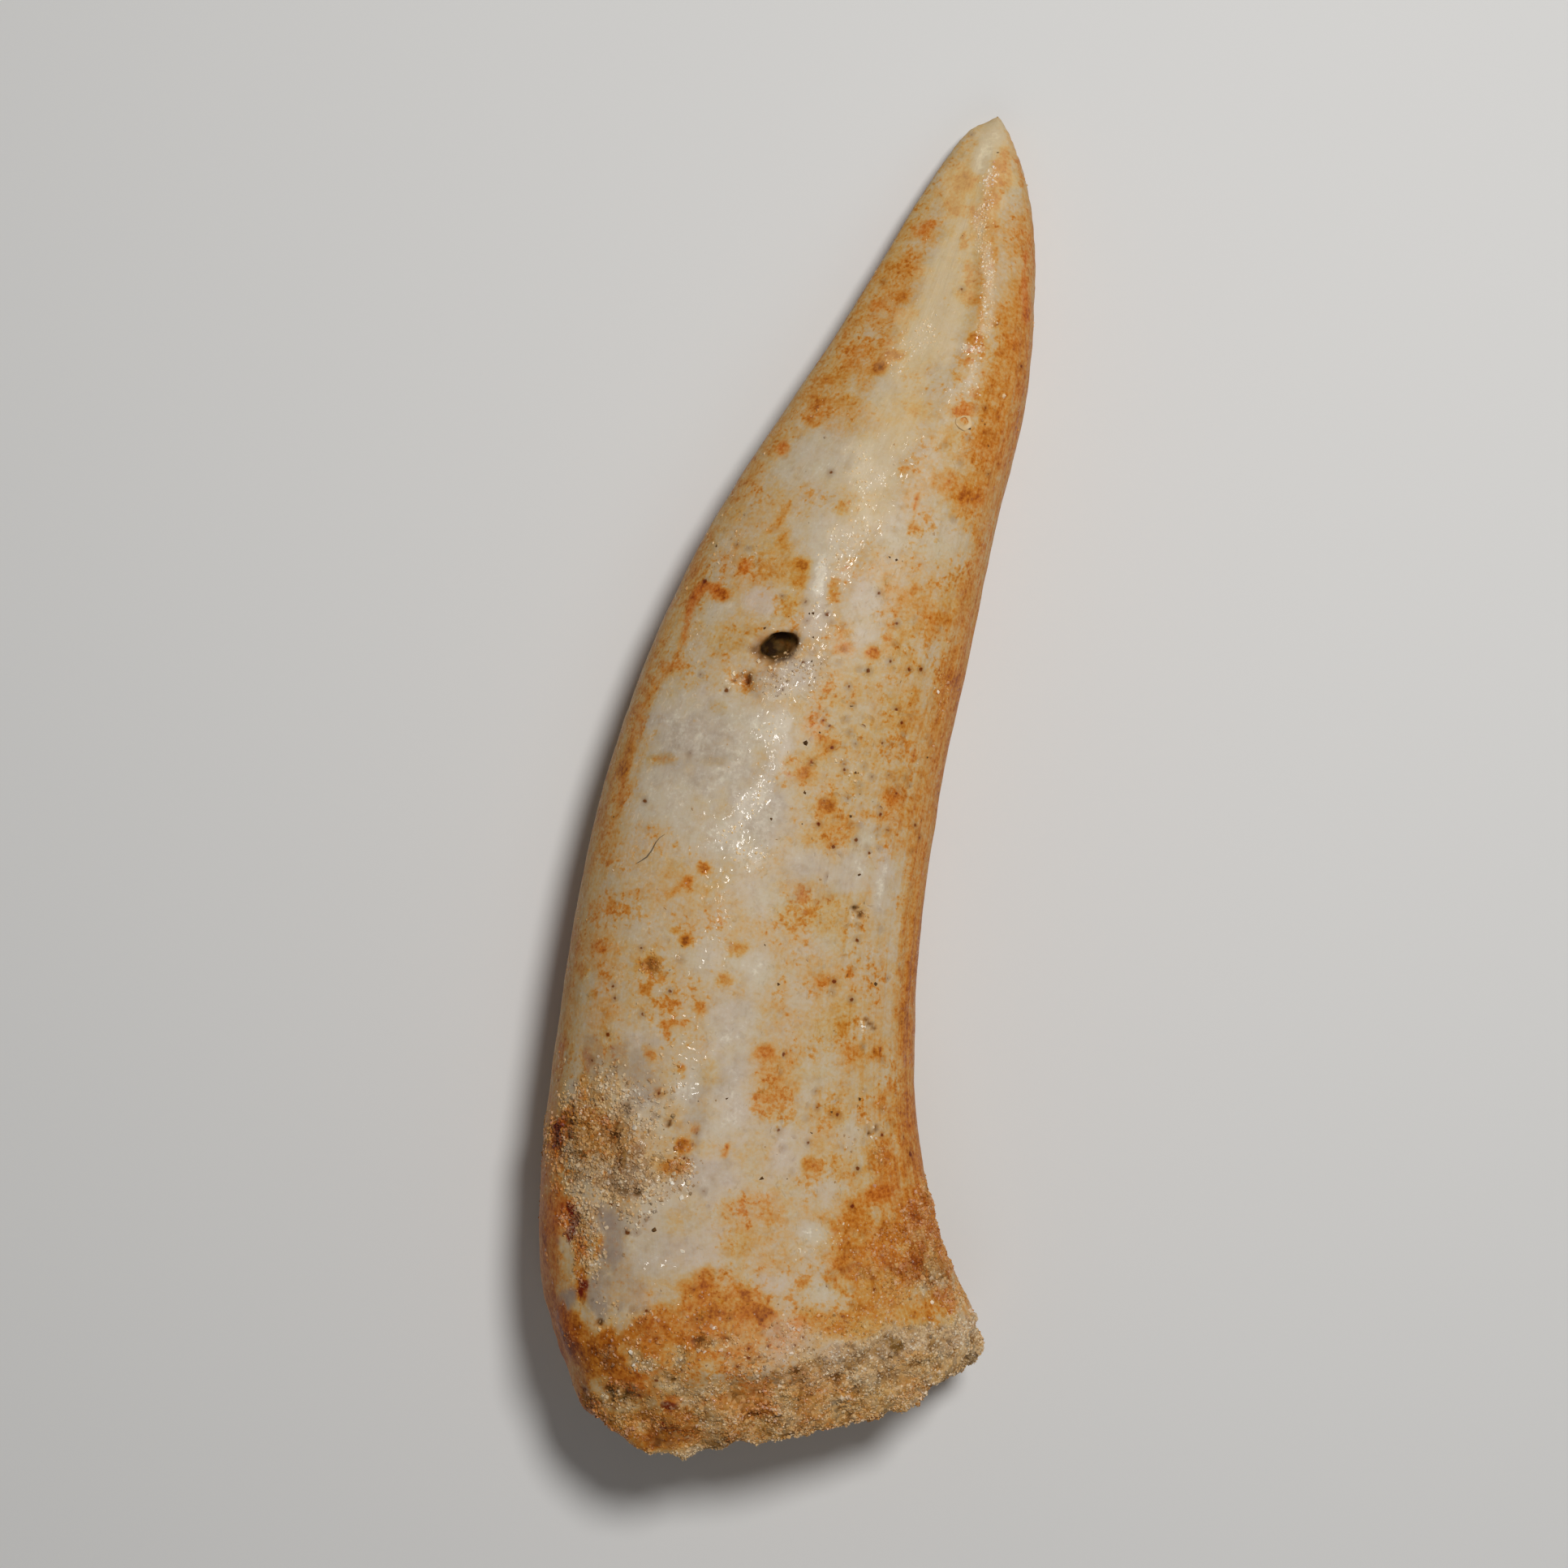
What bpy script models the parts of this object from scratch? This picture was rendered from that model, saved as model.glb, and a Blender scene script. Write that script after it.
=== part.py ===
"""A fossil fang of Enchodus, a sabre-toothed fish, lying on its flatter side.

It is one piece: a curved crown with a keel near its tip, a root that flares and ends in a
rough break, two small pits in the face and a worn flat underneath that it rests on.
+Y runs from the root to the tip, +X is the side of the hollow edge, and the ground is Z = 0.
"""

import math

import bmesh
import bpy
from mathutils import Matrix, Vector, noise

MM = 0.001

# Each rib crosses the fang from its bowed edge to its hollow edge, seen from above.
# A row holds the rib's two ends as (x, y), and how far its middle sags towards the root, in mm.
RIBS_MM = (
    ((-7.4, 1.95), (7.0, 5.2), 2.95),
    ((-8.6, 4.4), (6.35, 6.4), 2.3),
    ((-9.2, 6.4), (5.55, 7.45), 1.7),
    ((-9.6, 9.3), (4.5, 9.2), 0.9),
    ((-9.85, 13.2), (3.1, 13.0), 0.3),
    ((-10.0, 18.0), (2.25, 18.0), 0.0),
    ((-9.75, 23.2), (1.95, 23.5), 0.0),
    ((-9.0, 27.7), (2.05, 28.5), 0.0),
    ((-7.6, 32.5), (2.2, 33.7), 0.0),
    ((-5.8, 36.8), (2.4, 38.2), 0.0),
    ((-4.35, 40.3), (2.15, 41.2), 0.0),
    ((-2.95, 44.1), (1.65, 44.2), 0.0),
    ((-2.0, 46.4), (0.9, 46.4), 0.0),
    ((-1.45, 47.55), (0.3, 47.5), 0.0),
    ((-0.85, 48.15), (0.0, 48.1), 0.0),
)
TIP_MM = (-0.35, 48.36)

# Shape of a cross-section
ROOT_THICKNESS_SHARE = 0.56
SHAFT_THICKNESS_SHARE = 0.66
SHARE_ABOVE_EDGES = 0.53
ROOT_CREST = -0.2
TIP_CREST = 0.42
UNDERSIDE_CREST = -0.08
SHAFT_KEEL = 0.06
TIP_KEEL = 0.5
UNDERSIDE_KEEL = 0.12

# How the fang lies
REST_FLAT_DEPTH = 0.28 * MM
TIP_LIFT = 0.9 * MM

# The broken root: the enamel ends at a ledge, below it the surface slopes to the rim, and the
# end is a rough break, a little hollow
RIM_SKEW = 0.3
LEDGE_STATION = 2.3 * MM
LEDGE_WIDTH = 0.7 * MM
LEDGE_STEP = 0.3 * MM
RIM_SLOPE = 1.3 * MM
UNDERSIDE_SLOPE = 0.8 * MM
UNBROKEN_EXTRA = 2 * MM
BREAK_HOLLOW = 0.6 * MM
BREAK_LUMPS = 0.75 * MM
BREAK_LUMP_SIZE = 2.6 * MM
BREAK_GRAIN = 0.45 * MM
BREAK_GRAIN_SIZE = 0.9 * MM
BREAK_GRID = (38, 18)
BREAK_OVERHANG = 0.12
BREAK_BLOCK = 9 * MM
# (place across from -1 at the bowed edge to 1, width across, depth in mm) of each bite out of
# the rim, a negative depth being a knob that is left standing
RIM_BITES = (
    (-0.6, 0.2, -0.3),
    (-0.16, 0.06, 0.25),
    (-0.06, 0.06, -0.2),
    (0.22, 0.05, 0.25),
    (0.92, 0.08, 0.3),
)

# Mesh rings
AROUND = 80
ROOT_SPACING = 0.55 * MM
SHAFT_SPACING = 1.2 * MM
TIP_SPACING = 0.4 * MM

# Rough places: (x, y, radius) in mm of the crusts of cemented sand on the upper face
CRUSTS_MM = ((-8.2, 10.2, 1.9), (-6.8, 9.0, 1.4), (-7.6, 6.4, 1.2), (4.6, 7.6, 1.4), (4.1, 9.7, 0.8))
CRUST_ROUGHNESS = 0.7 * MM
CRUST_GRAIN = 0.9 * MM
FACE_UNEVENNESS = 0.14 * MM
FACE_WAVE = 5.0 * MM

# Pits: (x, y) of the mouth, half sizes along, across and down, and turn in degrees
LARGE_PIT = ((-4.55, 28.0), (0.68, 0.42, 0.75), 28)
SMALL_PIT = ((-5.66, 26.6), (0.46, 0.36, 0.34), -15)

GROUND_BLOCK = Vector((40, 80, 10)) * MM


def clear_scene():
    for thing in list(bpy.data.objects):
        bpy.data.objects.remove(thing, do_unlink=True)


def new_collection(name):
    collection = bpy.data.collections.new(name)
    bpy.context.scene.collection.children.link(collection)
    return collection


def mix(low, high, share):
    return low + (high - low) * share


def smooth_step(value, start, end):
    share = min(max((value - start) / (end - start), 0.0), 1.0)
    return share * share * (3 - 2 * share)


def curve_through(places, values, place):
    """The smooth curve through values at places, read at place: a cubic with central slopes."""
    last = len(places) - 1
    span = next((i for i in range(last - 1) if place < places[i + 1]), last - 1)

    def slope(i):
        before = max(i - 1, 0)
        after = min(i + 1, last)
        return (values[after] - values[before]) / (places[after] - places[before])

    width = places[span + 1] - places[span]
    share = (place - places[span]) / width
    square = share * share
    cube = square * share
    return (
        values[span] * (2 * cube - 3 * square + 1)
        + slope(span) * (cube - 2 * square + share) * width
        + values[span + 1] * (3 * square - 2 * cube)
        + slope(span + 1) * (cube - square) * width
    )


class Ribs:
    """The ribs and the tip at their stations, which count the middle line's length from the rim."""

    def __init__(self):
        tip = Vector(TIP_MM) * MM
        self.bowed = [Vector(bowed) * MM for bowed, _, _ in RIBS_MM] + [tip]
        self.hollow = [Vector(hollow) * MM for _, hollow, _ in RIBS_MM] + [tip]
        self.sags = [sag * MM for _, _, sag in RIBS_MM] + [0.0]
        self.stations = [0.0]
        middles = [(a + b) / 2 for a, b in zip(self.bowed, self.hollow)]
        for before, after in zip(middles, middles[1:]):
            self.stations.append(self.stations[-1] + (after - before).length)
        self.length = self.stations[-1]

    def at(self, station):
        """Centre, half-width vector and sag of the rib at a station."""
        bowed = curve_through(self.stations, self.bowed, station)
        hollow = curve_through(self.stations, self.hollow, station)
        sag = curve_through(self.stations, self.sags, station)
        return (bowed + hollow) / 2, (hollow - bowed) / 2, max(sag, 0.0)


def ring_stations(length):
    """Stations of the rings, close together at the root and the tip."""
    found = [0.0]
    while length - found[-1] > TIP_SPACING:
        here = found[-1]
        spacing = mix(ROOT_SPACING, SHAFT_SPACING, smooth_step(here, 4 * MM, 10 * MM))
        spacing = mix(spacing, TIP_SPACING, smooth_step(here, length - 12 * MM, length))
        found.append(here + spacing)
    found[-1] = length - TIP_SPACING / 3
    return found


def half_thicknesses(station, half_width, across):
    """Height above and depth below the two edges, less what the break has taken near the rim."""
    share = mix(ROOT_THICKNESS_SHARE, SHAFT_THICKNESS_SHARE, smooth_step(station, 0, 16 * MM))
    thickness = 2 * half_width * share
    above = thickness * SHARE_ABOVE_EDGES
    below = thickness - above
    near_rim = max(0.0, 1 - station / LEDGE_STATION) ** 1.4
    ledge = 1 - smooth_step(station, LEDGE_STATION - LEDGE_WIDTH, LEDGE_STATION)
    open_side = mix(0.45, 1.0, smooth_step(across, -0.8, -0.1))
    above -= open_side * (LEDGE_STEP * ledge + RIM_SLOPE * near_rim)
    return above, below - UNDERSIDE_SLOPE * near_rim


def edge_height(station, length, half_width):
    """Height of the two edges over the ground: the underside touches it, and the tip lifts off."""
    share = mix(ROOT_THICKNESS_SHARE, SHAFT_THICKNESS_SHARE, smooth_step(station, 0, 16 * MM))
    below = 2 * half_width * share * (1 - SHARE_ABOVE_EDGES)
    return below - REST_FLAT_DEPTH + TIP_LIFT * smooth_step(station, 26 * MM, length)


def bite_depth(across):
    """How far the rim is bitten back at a place across."""
    return sum(deep * MM * math.exp(-(((across - place) / width) ** 2)) for place, width, deep in RIM_BITES)


def rim_hang(sag, across):
    """How far a rib's curve lies towards the root of its straight line, at a place across."""
    return sag * math.sqrt(max(1 - across**2, 0)) * (1 - RIM_SKEW * across)


def root_direction(half):
    return Vector((half.y, -half.x)).normalized()


def section_point(ribs, station, angle):
    """A point of the section at a station. An angle of 0 is the hollow edge, a right angle the top."""
    centre, half, sag = ribs.at(station)
    across = math.cos(angle)
    arch = abs(math.sin(angle))
    roof = 1 - abs(across)
    above, below = half_thicknesses(station, half.length, across)
    if math.sin(angle) >= 0:
        crest = mix(ROOT_CREST, TIP_CREST, smooth_step(station, 10 * MM, 42 * MM))
        keel = mix(SHAFT_KEEL, TIP_KEEL, smooth_step(station, 27 * MM, 41 * MM))
        reach = above
    else:
        crest = UNDERSIDE_CREST
        keel = UNDERSIDE_KEEL
        reach = -below
    across += crest * arch**2
    place = centre + half * across + root_direction(half) * rim_hang(sag, across)
    height = edge_height(station, ribs.length, half.length) + reach * mix(arch, roof, keel)
    return Vector((place.x, place.y, height))


def break_point(ribs, across, height):
    """A point of the broken end, which is a rough curtain hanging over the first rib."""
    centre, half, sag = ribs.at(0)
    middle = edge_height(0, ribs.length, half.length)
    from_middle = math.hypot(across, (height - middle) / middle)
    hang = rim_hang(sag, across) - bite_depth(across) - BREAK_HOLLOW * max(0, 1 - from_middle**2)
    spot = Vector((across * half.length, height, 0))
    hang += BREAK_LUMPS * noise.noise(spot / BREAK_LUMP_SIZE)
    hang += BREAK_GRAIN * noise.noise(spot / BREAK_GRAIN_SIZE)
    place = centre + half * across + root_direction(half) * hang
    return Vector((place.x, place.y, height))


def crust_weight(station, point):
    """1 where the surface is broken or has cemented sand on it, 0 on clean enamel."""
    weight = 1 - smooth_step(station, 0.7 * LEDGE_STATION, 1.5 * LEDGE_STATION)
    upper = 1.0 if point.z > 3 * MM else 0.3
    for x, y, radius in CRUSTS_MM:
        away = math.hypot(point.x - x * MM, point.y - y * MM)
        weight = max(weight, upper * (1 - smooth_step(away, 0.5 * radius * MM, radius * MM)))
    return weight


def fang_mesh():
    """A sphere whose rings are laid on the ribs. Its north pole is the tip, and its south pole and
    first ring stand out past the rim, for the break to cut. The crust's weights go in the mesh's
    first vertex group."""
    ribs = Ribs()
    stations = ring_stations(ribs.length)
    last_ring = len(stations) + 2
    centre, half, sag = ribs.at(0)
    extra = root_direction(half) * UNBROKEN_EXTRA
    ball = bmesh.new()
    bmesh.ops.create_uvsphere(ball, u_segments=AROUND, v_segments=last_ring, radius=1)
    weights = ball.verts.layers.deform.verify()
    for corner in ball.verts:
        from_south = math.acos(max(-1.0, min(1.0, -corner.co.z))) / math.pi
        ring = round(from_south * last_ring)
        if ring == last_ring:
            corner.co = (TIP_MM[0] * MM, TIP_MM[1] * MM, edge_height(ribs.length, ribs.length, 0.0))
        elif ring == 0:
            end = centre + root_direction(half) * sag + extra
            corner.co = (end.x, end.y, edge_height(0, ribs.length, half.length))
        else:
            station = stations[max(ring - 2, 0)]
            corner.co = section_point(ribs, station, math.atan2(corner.co.y, corner.co.x))
            corner[weights][0] = crust_weight(station, corner.co)
            if ring == 1:
                corner.co += extra.to_3d()
    mesh = bpy.data.meshes.new("fang")
    ball.to_mesh(mesh)
    ball.free()
    mesh.shade_smooth()
    return mesh


def fang_material():
    material = bpy.data.materials.new("fossil_enamel")
    material.use_nodes = True
    surface = material.node_tree.nodes["Principled BSDF"]
    surface.inputs["Base Color"].default_value = (0.53, 0.38, 0.21, 1)
    surface.inputs["Roughness"].default_value = 0.42
    surface.inputs["Metallic"].default_value = 0.0
    return material


def add_roughness(fang, name, grain, strength, group=""):
    clouds = bpy.data.textures.new(name, "CLOUDS")
    clouds.noise_scale = grain
    clouds.noise_depth = 2
    rough = fang.modifiers.new(name, "DISPLACE")
    rough.texture = clouds
    rough.texture_coords = "LOCAL"
    rough.strength = strength
    rough.mid_level = 0.5
    rough.vertex_group = group


def make_fang(collection):
    fang = bpy.data.objects.new("fang", fang_mesh())
    fang.vertex_groups.new(name="crust")
    fang.data.materials.append(fang_material())
    collection.objects.link(fang)
    add_roughness(fang, "face_unevenness", FACE_WAVE, FACE_UNEVENNESS)
    add_roughness(fang, "crust_roughness", CRUST_GRAIN, CRUST_ROUGHNESS, "crust")
    return fang


def as_cutter(cutter, name, collection, fang):
    for holder in list(cutter.users_collection):
        holder.objects.unlink(cutter)
    collection.objects.link(cutter)
    cutter.name = name
    cutter.hide_render = True
    cutter.display_type = "WIRE"
    cut = fang.modifiers.new(name, "BOOLEAN")
    cut.operation = "DIFFERENCE"
    cut.object = cutter
    return cutter


def surface_height(fang, x, y):
    """Height of the fang's upper face over a point of the ground."""
    hit, place, _, _ = fang.ray_cast(Vector((x, y, 50 * MM)), Vector((0, 0, -1)))
    if not hit:
        raise ValueError("a pit lies outside the fang")
    return place.z


def make_pit(name, pit, collection, fang):
    (x, y), half_sizes, turn = pit
    bpy.ops.mesh.primitive_uv_sphere_add(segments=20, ring_count=12, radius=1)
    cutter = bpy.context.active_object
    size = Matrix.Diagonal((*(Vector(half_sizes) * MM), 1))
    cutter.data.transform(Matrix.Rotation(math.radians(turn), 4, "Z") @ size)
    cutter.location = (x * MM, y * MM, surface_height(fang, x * MM, y * MM))
    return as_cutter(cutter, name, collection, fang)


def make_break(collection, fang):
    """A block whose near face is the broken end, and which takes away all past it."""
    ribs = Ribs()
    block = bmesh.new()
    columns, rows = BREAK_GRID
    grid = bmesh.ops.create_grid(block, x_segments=columns, y_segments=rows, size=1 + BREAK_OVERHANG)
    for corner in grid["verts"]:
        beyond = max(0.0, abs(corner.co.x) - 1)
        across = math.sin(math.pi / 2 * max(-1.0, min(1.0, corner.co.x)))
        across += 2 * math.copysign(beyond, corner.co.x)
        corner.co = break_point(ribs, across, (corner.co.y + 1) * BREAK_BLOCK / 2)
    faces = bmesh.ops.extrude_face_region(block, geom=block.faces[:])
    moved = [item for item in faces["geom"] if isinstance(item, bmesh.types.BMVert)]
    bmesh.ops.translate(block, verts=moved, vec=(0, -BREAK_BLOCK, 0))
    bmesh.ops.recalc_face_normals(block, faces=block.faces[:])
    mesh = bpy.data.meshes.new("root_break")
    block.to_mesh(mesh)
    block.free()
    return as_cutter(bpy.data.objects.new("root_break", mesh), "root_break", collection, fang)


def make_ground(collection, fang):
    bpy.ops.mesh.primitive_cube_add(size=1)
    block = bpy.context.active_object
    block.data.transform(Matrix.Diagonal((*GROUND_BLOCK, 1)))
    block.location = (0, 24 * MM, -GROUND_BLOCK.z / 2)
    return as_cutter(block, "ground", collection, fang)


def centre_on_origin(fang, pieces):
    """Moves everything so that the fang's box stands centred over the origin."""
    bpy.context.view_layer.update()
    shown = fang.evaluated_get(bpy.context.evaluated_depsgraph_get())
    corners = [shown.matrix_world @ Vector(corner) for corner in shown.bound_box]
    frame = bpy.data.objects.new("fang_frame", None)
    bpy.context.scene.collection.objects.link(frame)
    for piece in pieces:
        piece.parent = frame
    for axis in range(2):
        ends = [corner[axis] for corner in corners]
        frame.location[axis] = -(min(ends) + max(ends)) / 2


def main():
    clear_scene()
    fang = make_fang(new_collection("fossil_fang"))
    cutters = new_collection("cutters")
    bpy.context.view_layer.update()
    pieces = [
        fang,
        make_pit("large_pit", LARGE_PIT, cutters, fang),
        make_pit("small_pit", SMALL_PIT, cutters, fang),
        make_break(cutters, fang),
        make_ground(cutters, fang),
    ]
    centre_on_origin(fang, pieces)


main()
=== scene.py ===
# %% [markdown]
# # A fossil fang, finished
#
# The fang comes from a large predatory fish and lay in phosphate sand for millions of years.
# Its glossy enameloid took up iron in clouds and streaks, and sand is cemented to its root and flanks.
# This lesson takes the plain solid from the frame and gives it that surface: first a finer mesh, then
# the stains, painted where they lie, then real relief, the material, and the sand grain by grain.

# %% Load the frame
import math

import bpy
import numpy as np
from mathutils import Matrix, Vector, noise


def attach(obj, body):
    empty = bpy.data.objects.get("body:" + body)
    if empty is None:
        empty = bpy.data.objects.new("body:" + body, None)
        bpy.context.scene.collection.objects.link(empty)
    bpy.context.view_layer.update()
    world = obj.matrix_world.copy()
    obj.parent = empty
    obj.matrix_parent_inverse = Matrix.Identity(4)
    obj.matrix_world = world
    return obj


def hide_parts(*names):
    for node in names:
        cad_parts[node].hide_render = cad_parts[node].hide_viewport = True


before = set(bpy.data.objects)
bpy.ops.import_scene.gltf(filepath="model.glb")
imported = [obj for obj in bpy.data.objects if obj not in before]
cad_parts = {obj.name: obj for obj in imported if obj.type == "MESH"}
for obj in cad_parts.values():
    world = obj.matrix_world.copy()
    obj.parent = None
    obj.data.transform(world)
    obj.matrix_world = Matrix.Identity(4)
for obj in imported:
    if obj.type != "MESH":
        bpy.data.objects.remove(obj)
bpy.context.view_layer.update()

MM = 0.001

# %% [markdown]
# ## The view
#
# The fang lies down, so the camera looks straight down on it. The picture is turned about 10 degrees
# against the fang's own axes. A long lens keeps the edges from spreading, as in a photo of a small thing.
# The scale of the photo is 35 pixels to a millimetre, which fixes how far away the camera stands.

# %% Camera
PHOTO_SIDE = 1932
PIXELS_PER_MM = 35.0
PHOTO_PLANE = 4.0
LENS = 100.0
SENSOR = 36.0
CAMERA_TURN = math.radians(10.5)
AIM = (-2.08, -0.49)

camera_distance = PHOTO_SIDE / PIXELS_PER_MM * LENS / SENSOR
camera_height = PHOTO_PLANE + camera_distance
bpy.ops.object.select_all(action="DESELECT")
bpy.ops.object.camera_add(
    location=Vector((*AIM, camera_height)) * MM, rotation=(0, 0, CAMERA_TURN)
)
camera = bpy.context.object
camera.name = "camera"
camera.data.lens = LENS
camera.data.sensor_width = SENSOR
camera.data.clip_start = 10 * MM
camera.data.clip_end = 2.0
bpy.context.scene.camera = camera
print("camera height in mm:", round(camera_height, 1))

# %% [markdown]
# ## A finer mesh
#
# The solid has the right form, but its facets are half a millimetre wide, which is too coarse for grooves
# and crumbs. The surface could be subdivided, yet that keeps the long thin triangles of the broken end.
# A voxel remesh gives even small faces all over instead. A Smooth modifier then takes the facets out of
# the enamel, and a vertex group keeps it away from the rough root, which should stay rough.

# %% Copy and merge the solid
MERGE_DISTANCE = 0.001


def add_piece(name, data):
    """A new object in the scene, which is then the only one selected."""
    piece = bpy.data.objects.new(name, data)
    bpy.context.scene.collection.objects.link(piece)
    bpy.ops.object.select_all(action="DESELECT")
    bpy.context.view_layer.objects.active = piece
    piece.select_set(True)
    return piece


surface = add_piece("fang_surface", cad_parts["fang"].data.copy())
bpy.ops.object.mode_set(mode="EDIT")
bpy.ops.mesh.select_all(action="SELECT")
bpy.ops.mesh.remove_doubles(threshold=MERGE_DISTANCE * MM)
bpy.ops.object.mode_set(mode="OBJECT")
print("merged solid:", len(surface.data.polygons), "faces")

# %% Remesh evenly
VOXEL = 0.139

remesh = surface.modifiers.new("even faces", "REMESH")
remesh.mode = "VOXEL"
remesh.voxel_size = VOXEL * MM
bpy.ops.object.modifier_apply(modifier=remesh.name)
print("remeshed:", len(surface.data.polygons), "faces")


# %% Read points and normals
def read_points(mesh):
    """The mesh's points, in millimetres."""
    flat = np.empty(len(mesh.vertices) * 3)
    mesh.vertices.foreach_get("co", flat)
    return flat.reshape(-1, 3) / MM


def write_points(mesh, points):
    mesh.vertices.foreach_set("co", (points * MM).ravel())
    mesh.update()


def read_normals(mesh):
    flat = np.empty(len(mesh.vertices) * 3)
    mesh.vertex_normals.foreach_get("vector", flat)
    return flat.reshape(-1, 3)


def smooth_step(low, high, value):
    """0 below low, 1 above high, and an even ramp between them. It falls instead if low is above high."""
    share = np.clip((value - low) / (high - low), 0, 1)
    return share * share * (3 - 2 * share)


# %% [markdown]
# ## Places on the fang
#
# Stains, pits and crumbs have to land where the photo shows them. Each point of the mesh is seen through
# the camera once, which gives its column and row in the photo. A second pair of measures follows the fang
# itself: how far along it a point lies, and how far round its section. Growth lines run along the fang,
# so they need this second pair.

# %% Where each point is in the photo
points = read_points(surface.data)


def photo_position(points):
    """Column and row in the photo of points in millimetres."""
    nearer = camera_distance / (camera_height - points[:, 2])
    across, along = points[:, 0] - AIM[0], points[:, 1] - AIM[1]
    right = (across * math.cos(CAMERA_TURN) + along * math.sin(CAMERA_TURN)) * nearer
    up = (along * math.cos(CAMERA_TURN) - across * math.sin(CAMERA_TURN)) * nearer
    half = PHOTO_SIDE / 2
    return half + right * PIXELS_PER_MM, half - up * PIXELS_PER_MM


column, row = photo_position(points)
print("columns", int(column.min()), "to", int(column.max()), "rows", int(row.min()), "to", int(row.max()))

# %% Measure the fang's sections
SECTION_STEP = 0.5
SOFTENED_OVER = 5

edges_along = np.arange(points[:, 1].min(), points[:, 1].max(), SECTION_STEP)
band = np.digitize(points[:, 1], edges_along)
sections = []
for index in np.unique(band):
    ring = points[band == index]
    low, high = ring.min(0), ring.max(0)
    sections.append((ring[:, 1].mean(), *((low + high) / 2)[[0, 2]], *((high - low) / 2)[[0, 2]]))
sections = np.array(sections)
softener = np.ones(SOFTENED_OVER) / SOFTENED_OVER
for measure in range(1, 5):
    padded = np.pad(sections[:, measure], SOFTENED_OVER // 2, mode="edge")
    sections[:, measure] = np.convolve(padded, softener, mode="valid")


def section_measures(points):
    """Middle x, middle z, half width and half thickness of the fang at each point."""
    return [np.interp(points[:, 1], sections[:, 0], sections[:, k]) for k in range(1, 5)]


middle_x, _, half_width, _ = section_measures(points)
bowed_gap = points[:, 0] - (middle_x - half_width)
hollow_gap = (middle_x + half_width) - points[:, 0]
print("widest section in mm:", round(2 * half_width.max(), 2))


# %% Noise for the mesh
def cloud(points, size, layers=3, seed=0):
    """Soft noise of about -1 to 1, whose clouds are about as large as size, in millimetres."""
    shift = Vector((seed * 7.13, seed * 3.71, seed * 5.37))
    return np.array([
        noise.fractal(Vector(point) + shift, 0.9, 2.1, layers) for point in points / size
    ])


# %% [markdown]
# ## Smoothing the enamel
#
# The crown was polished by growth and by use, and the root was torn off the jaw and then crusted.
# The line between them is read from the photo: it runs across the root as a broken ledge.
# Below it the smoothing fades out.

# %% The ledge across the root
LEDGE_LINE = (
    (640, 1690), (715, 1702), (760, 1714), (800, 1706), (850, 1700), (920, 1708),
    (960, 1692), (1005, 1680), (1076, 1667), (1103, 1658), (1181, 1642), (1240, 1600),
)

ledge_columns, ledge_rows = np.array(LEDGE_LINE, float).T
below_ledge = (row - np.interp(column, ledge_columns, ledge_rows)) / PIXELS_PER_MM
root_zone = smooth_step(-0.4, 0.5, below_ledge + 0.5 * cloud(points, 1.6, 3, seed=1))
print("points in the root zone:", int((root_zone > 0.5).sum()))

# %% Smooth all but the root
SMOOTH_ROUNDS = 22
SMOOTH_LEVELS = 20
ROOT_SMOOTHING = 0.3

crown_group = surface.vertex_groups.new(name="crown")
rough_share = root_zone * np.interp(column, [760, 860], [0.3, 1.0])
smoothing = np.round((1 - (1 - ROOT_SMOOTHING) * rough_share) * SMOOTH_LEVELS).astype(int)
for level in np.unique(smoothing):
    members = np.nonzero(smoothing == level)[0].tolist()
    crown_group.add(members, level / SMOOTH_LEVELS, "REPLACE")
smooth = surface.modifiers.new("soften facets", "SMOOTH")
smooth.factor = 0.5
smooth.iterations = SMOOTH_ROUNDS
smooth.vertex_group = crown_group.name
bpy.ops.object.modifier_apply(modifier=smooth.name)
surface.vertex_groups.clear()
moved = np.linalg.norm(read_points(surface.data) - points, axis=1)
points = read_points(surface.data)
normals = read_normals(surface.data)
print("smoothing moved points by at most", round(moved.max(), 3), "mm")

# %% [markdown]
# ## Painting one by one
#
# The stains are not a pattern that repeats: each one has its place. They could be a photo laid on the
# fang, but then they would be a picture and not a surface. Here they are brushed on: a spot has a place
# in the photo, a half width and a half length in millimetres, and an amount. Noise makes its edge ragged.
# One field, iron, says how much stain there is, from pale bone at 0 to dark rust at 1. A second field,
# redness, turns it from yellow ochre towards red.

# %% The brush
FACES_UP = 0.05
SPOT_EDGE = (1.25, 0.35)
TRAIL_EDGE = (1.3, 0.3)
DEPTH_REACH = 1.5
STEPS_PER_CORNER = 12

upper_points = np.nonzero(normals[:, 2] > FACES_UP)[0]
ragged = 0.55 * cloud(points, 1.1, 4, seed=2) + 0.2 * cloud(points, 0.4, 2, seed=3)


def height_under(at_column, at_row):
    """Height of the upper face at a place in the photo, in millimetres."""
    gap = (column[upper_points] - at_column) ** 2 + (row[upper_points] - at_row) ** 2
    return points[upper_points[np.argmin(gap)], 2]


def spot_weight(at_column, at_row, half_width, half_length, rag=1.0):
    """1 in the middle of a spot and 0 outside it."""
    lower = points[:, 2] - height_under(at_column, at_row)
    depth = lower / (DEPTH_REACH * max(half_width, half_length))
    sideways = (column - at_column) / PIXELS_PER_MM / half_width
    lengthways = (row - at_row) / PIXELS_PER_MM / half_length
    reach = np.sqrt(sideways**2 + lengthways**2 + depth**2)
    return smooth_step(*SPOT_EDGE, reach + rag * ragged)


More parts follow.
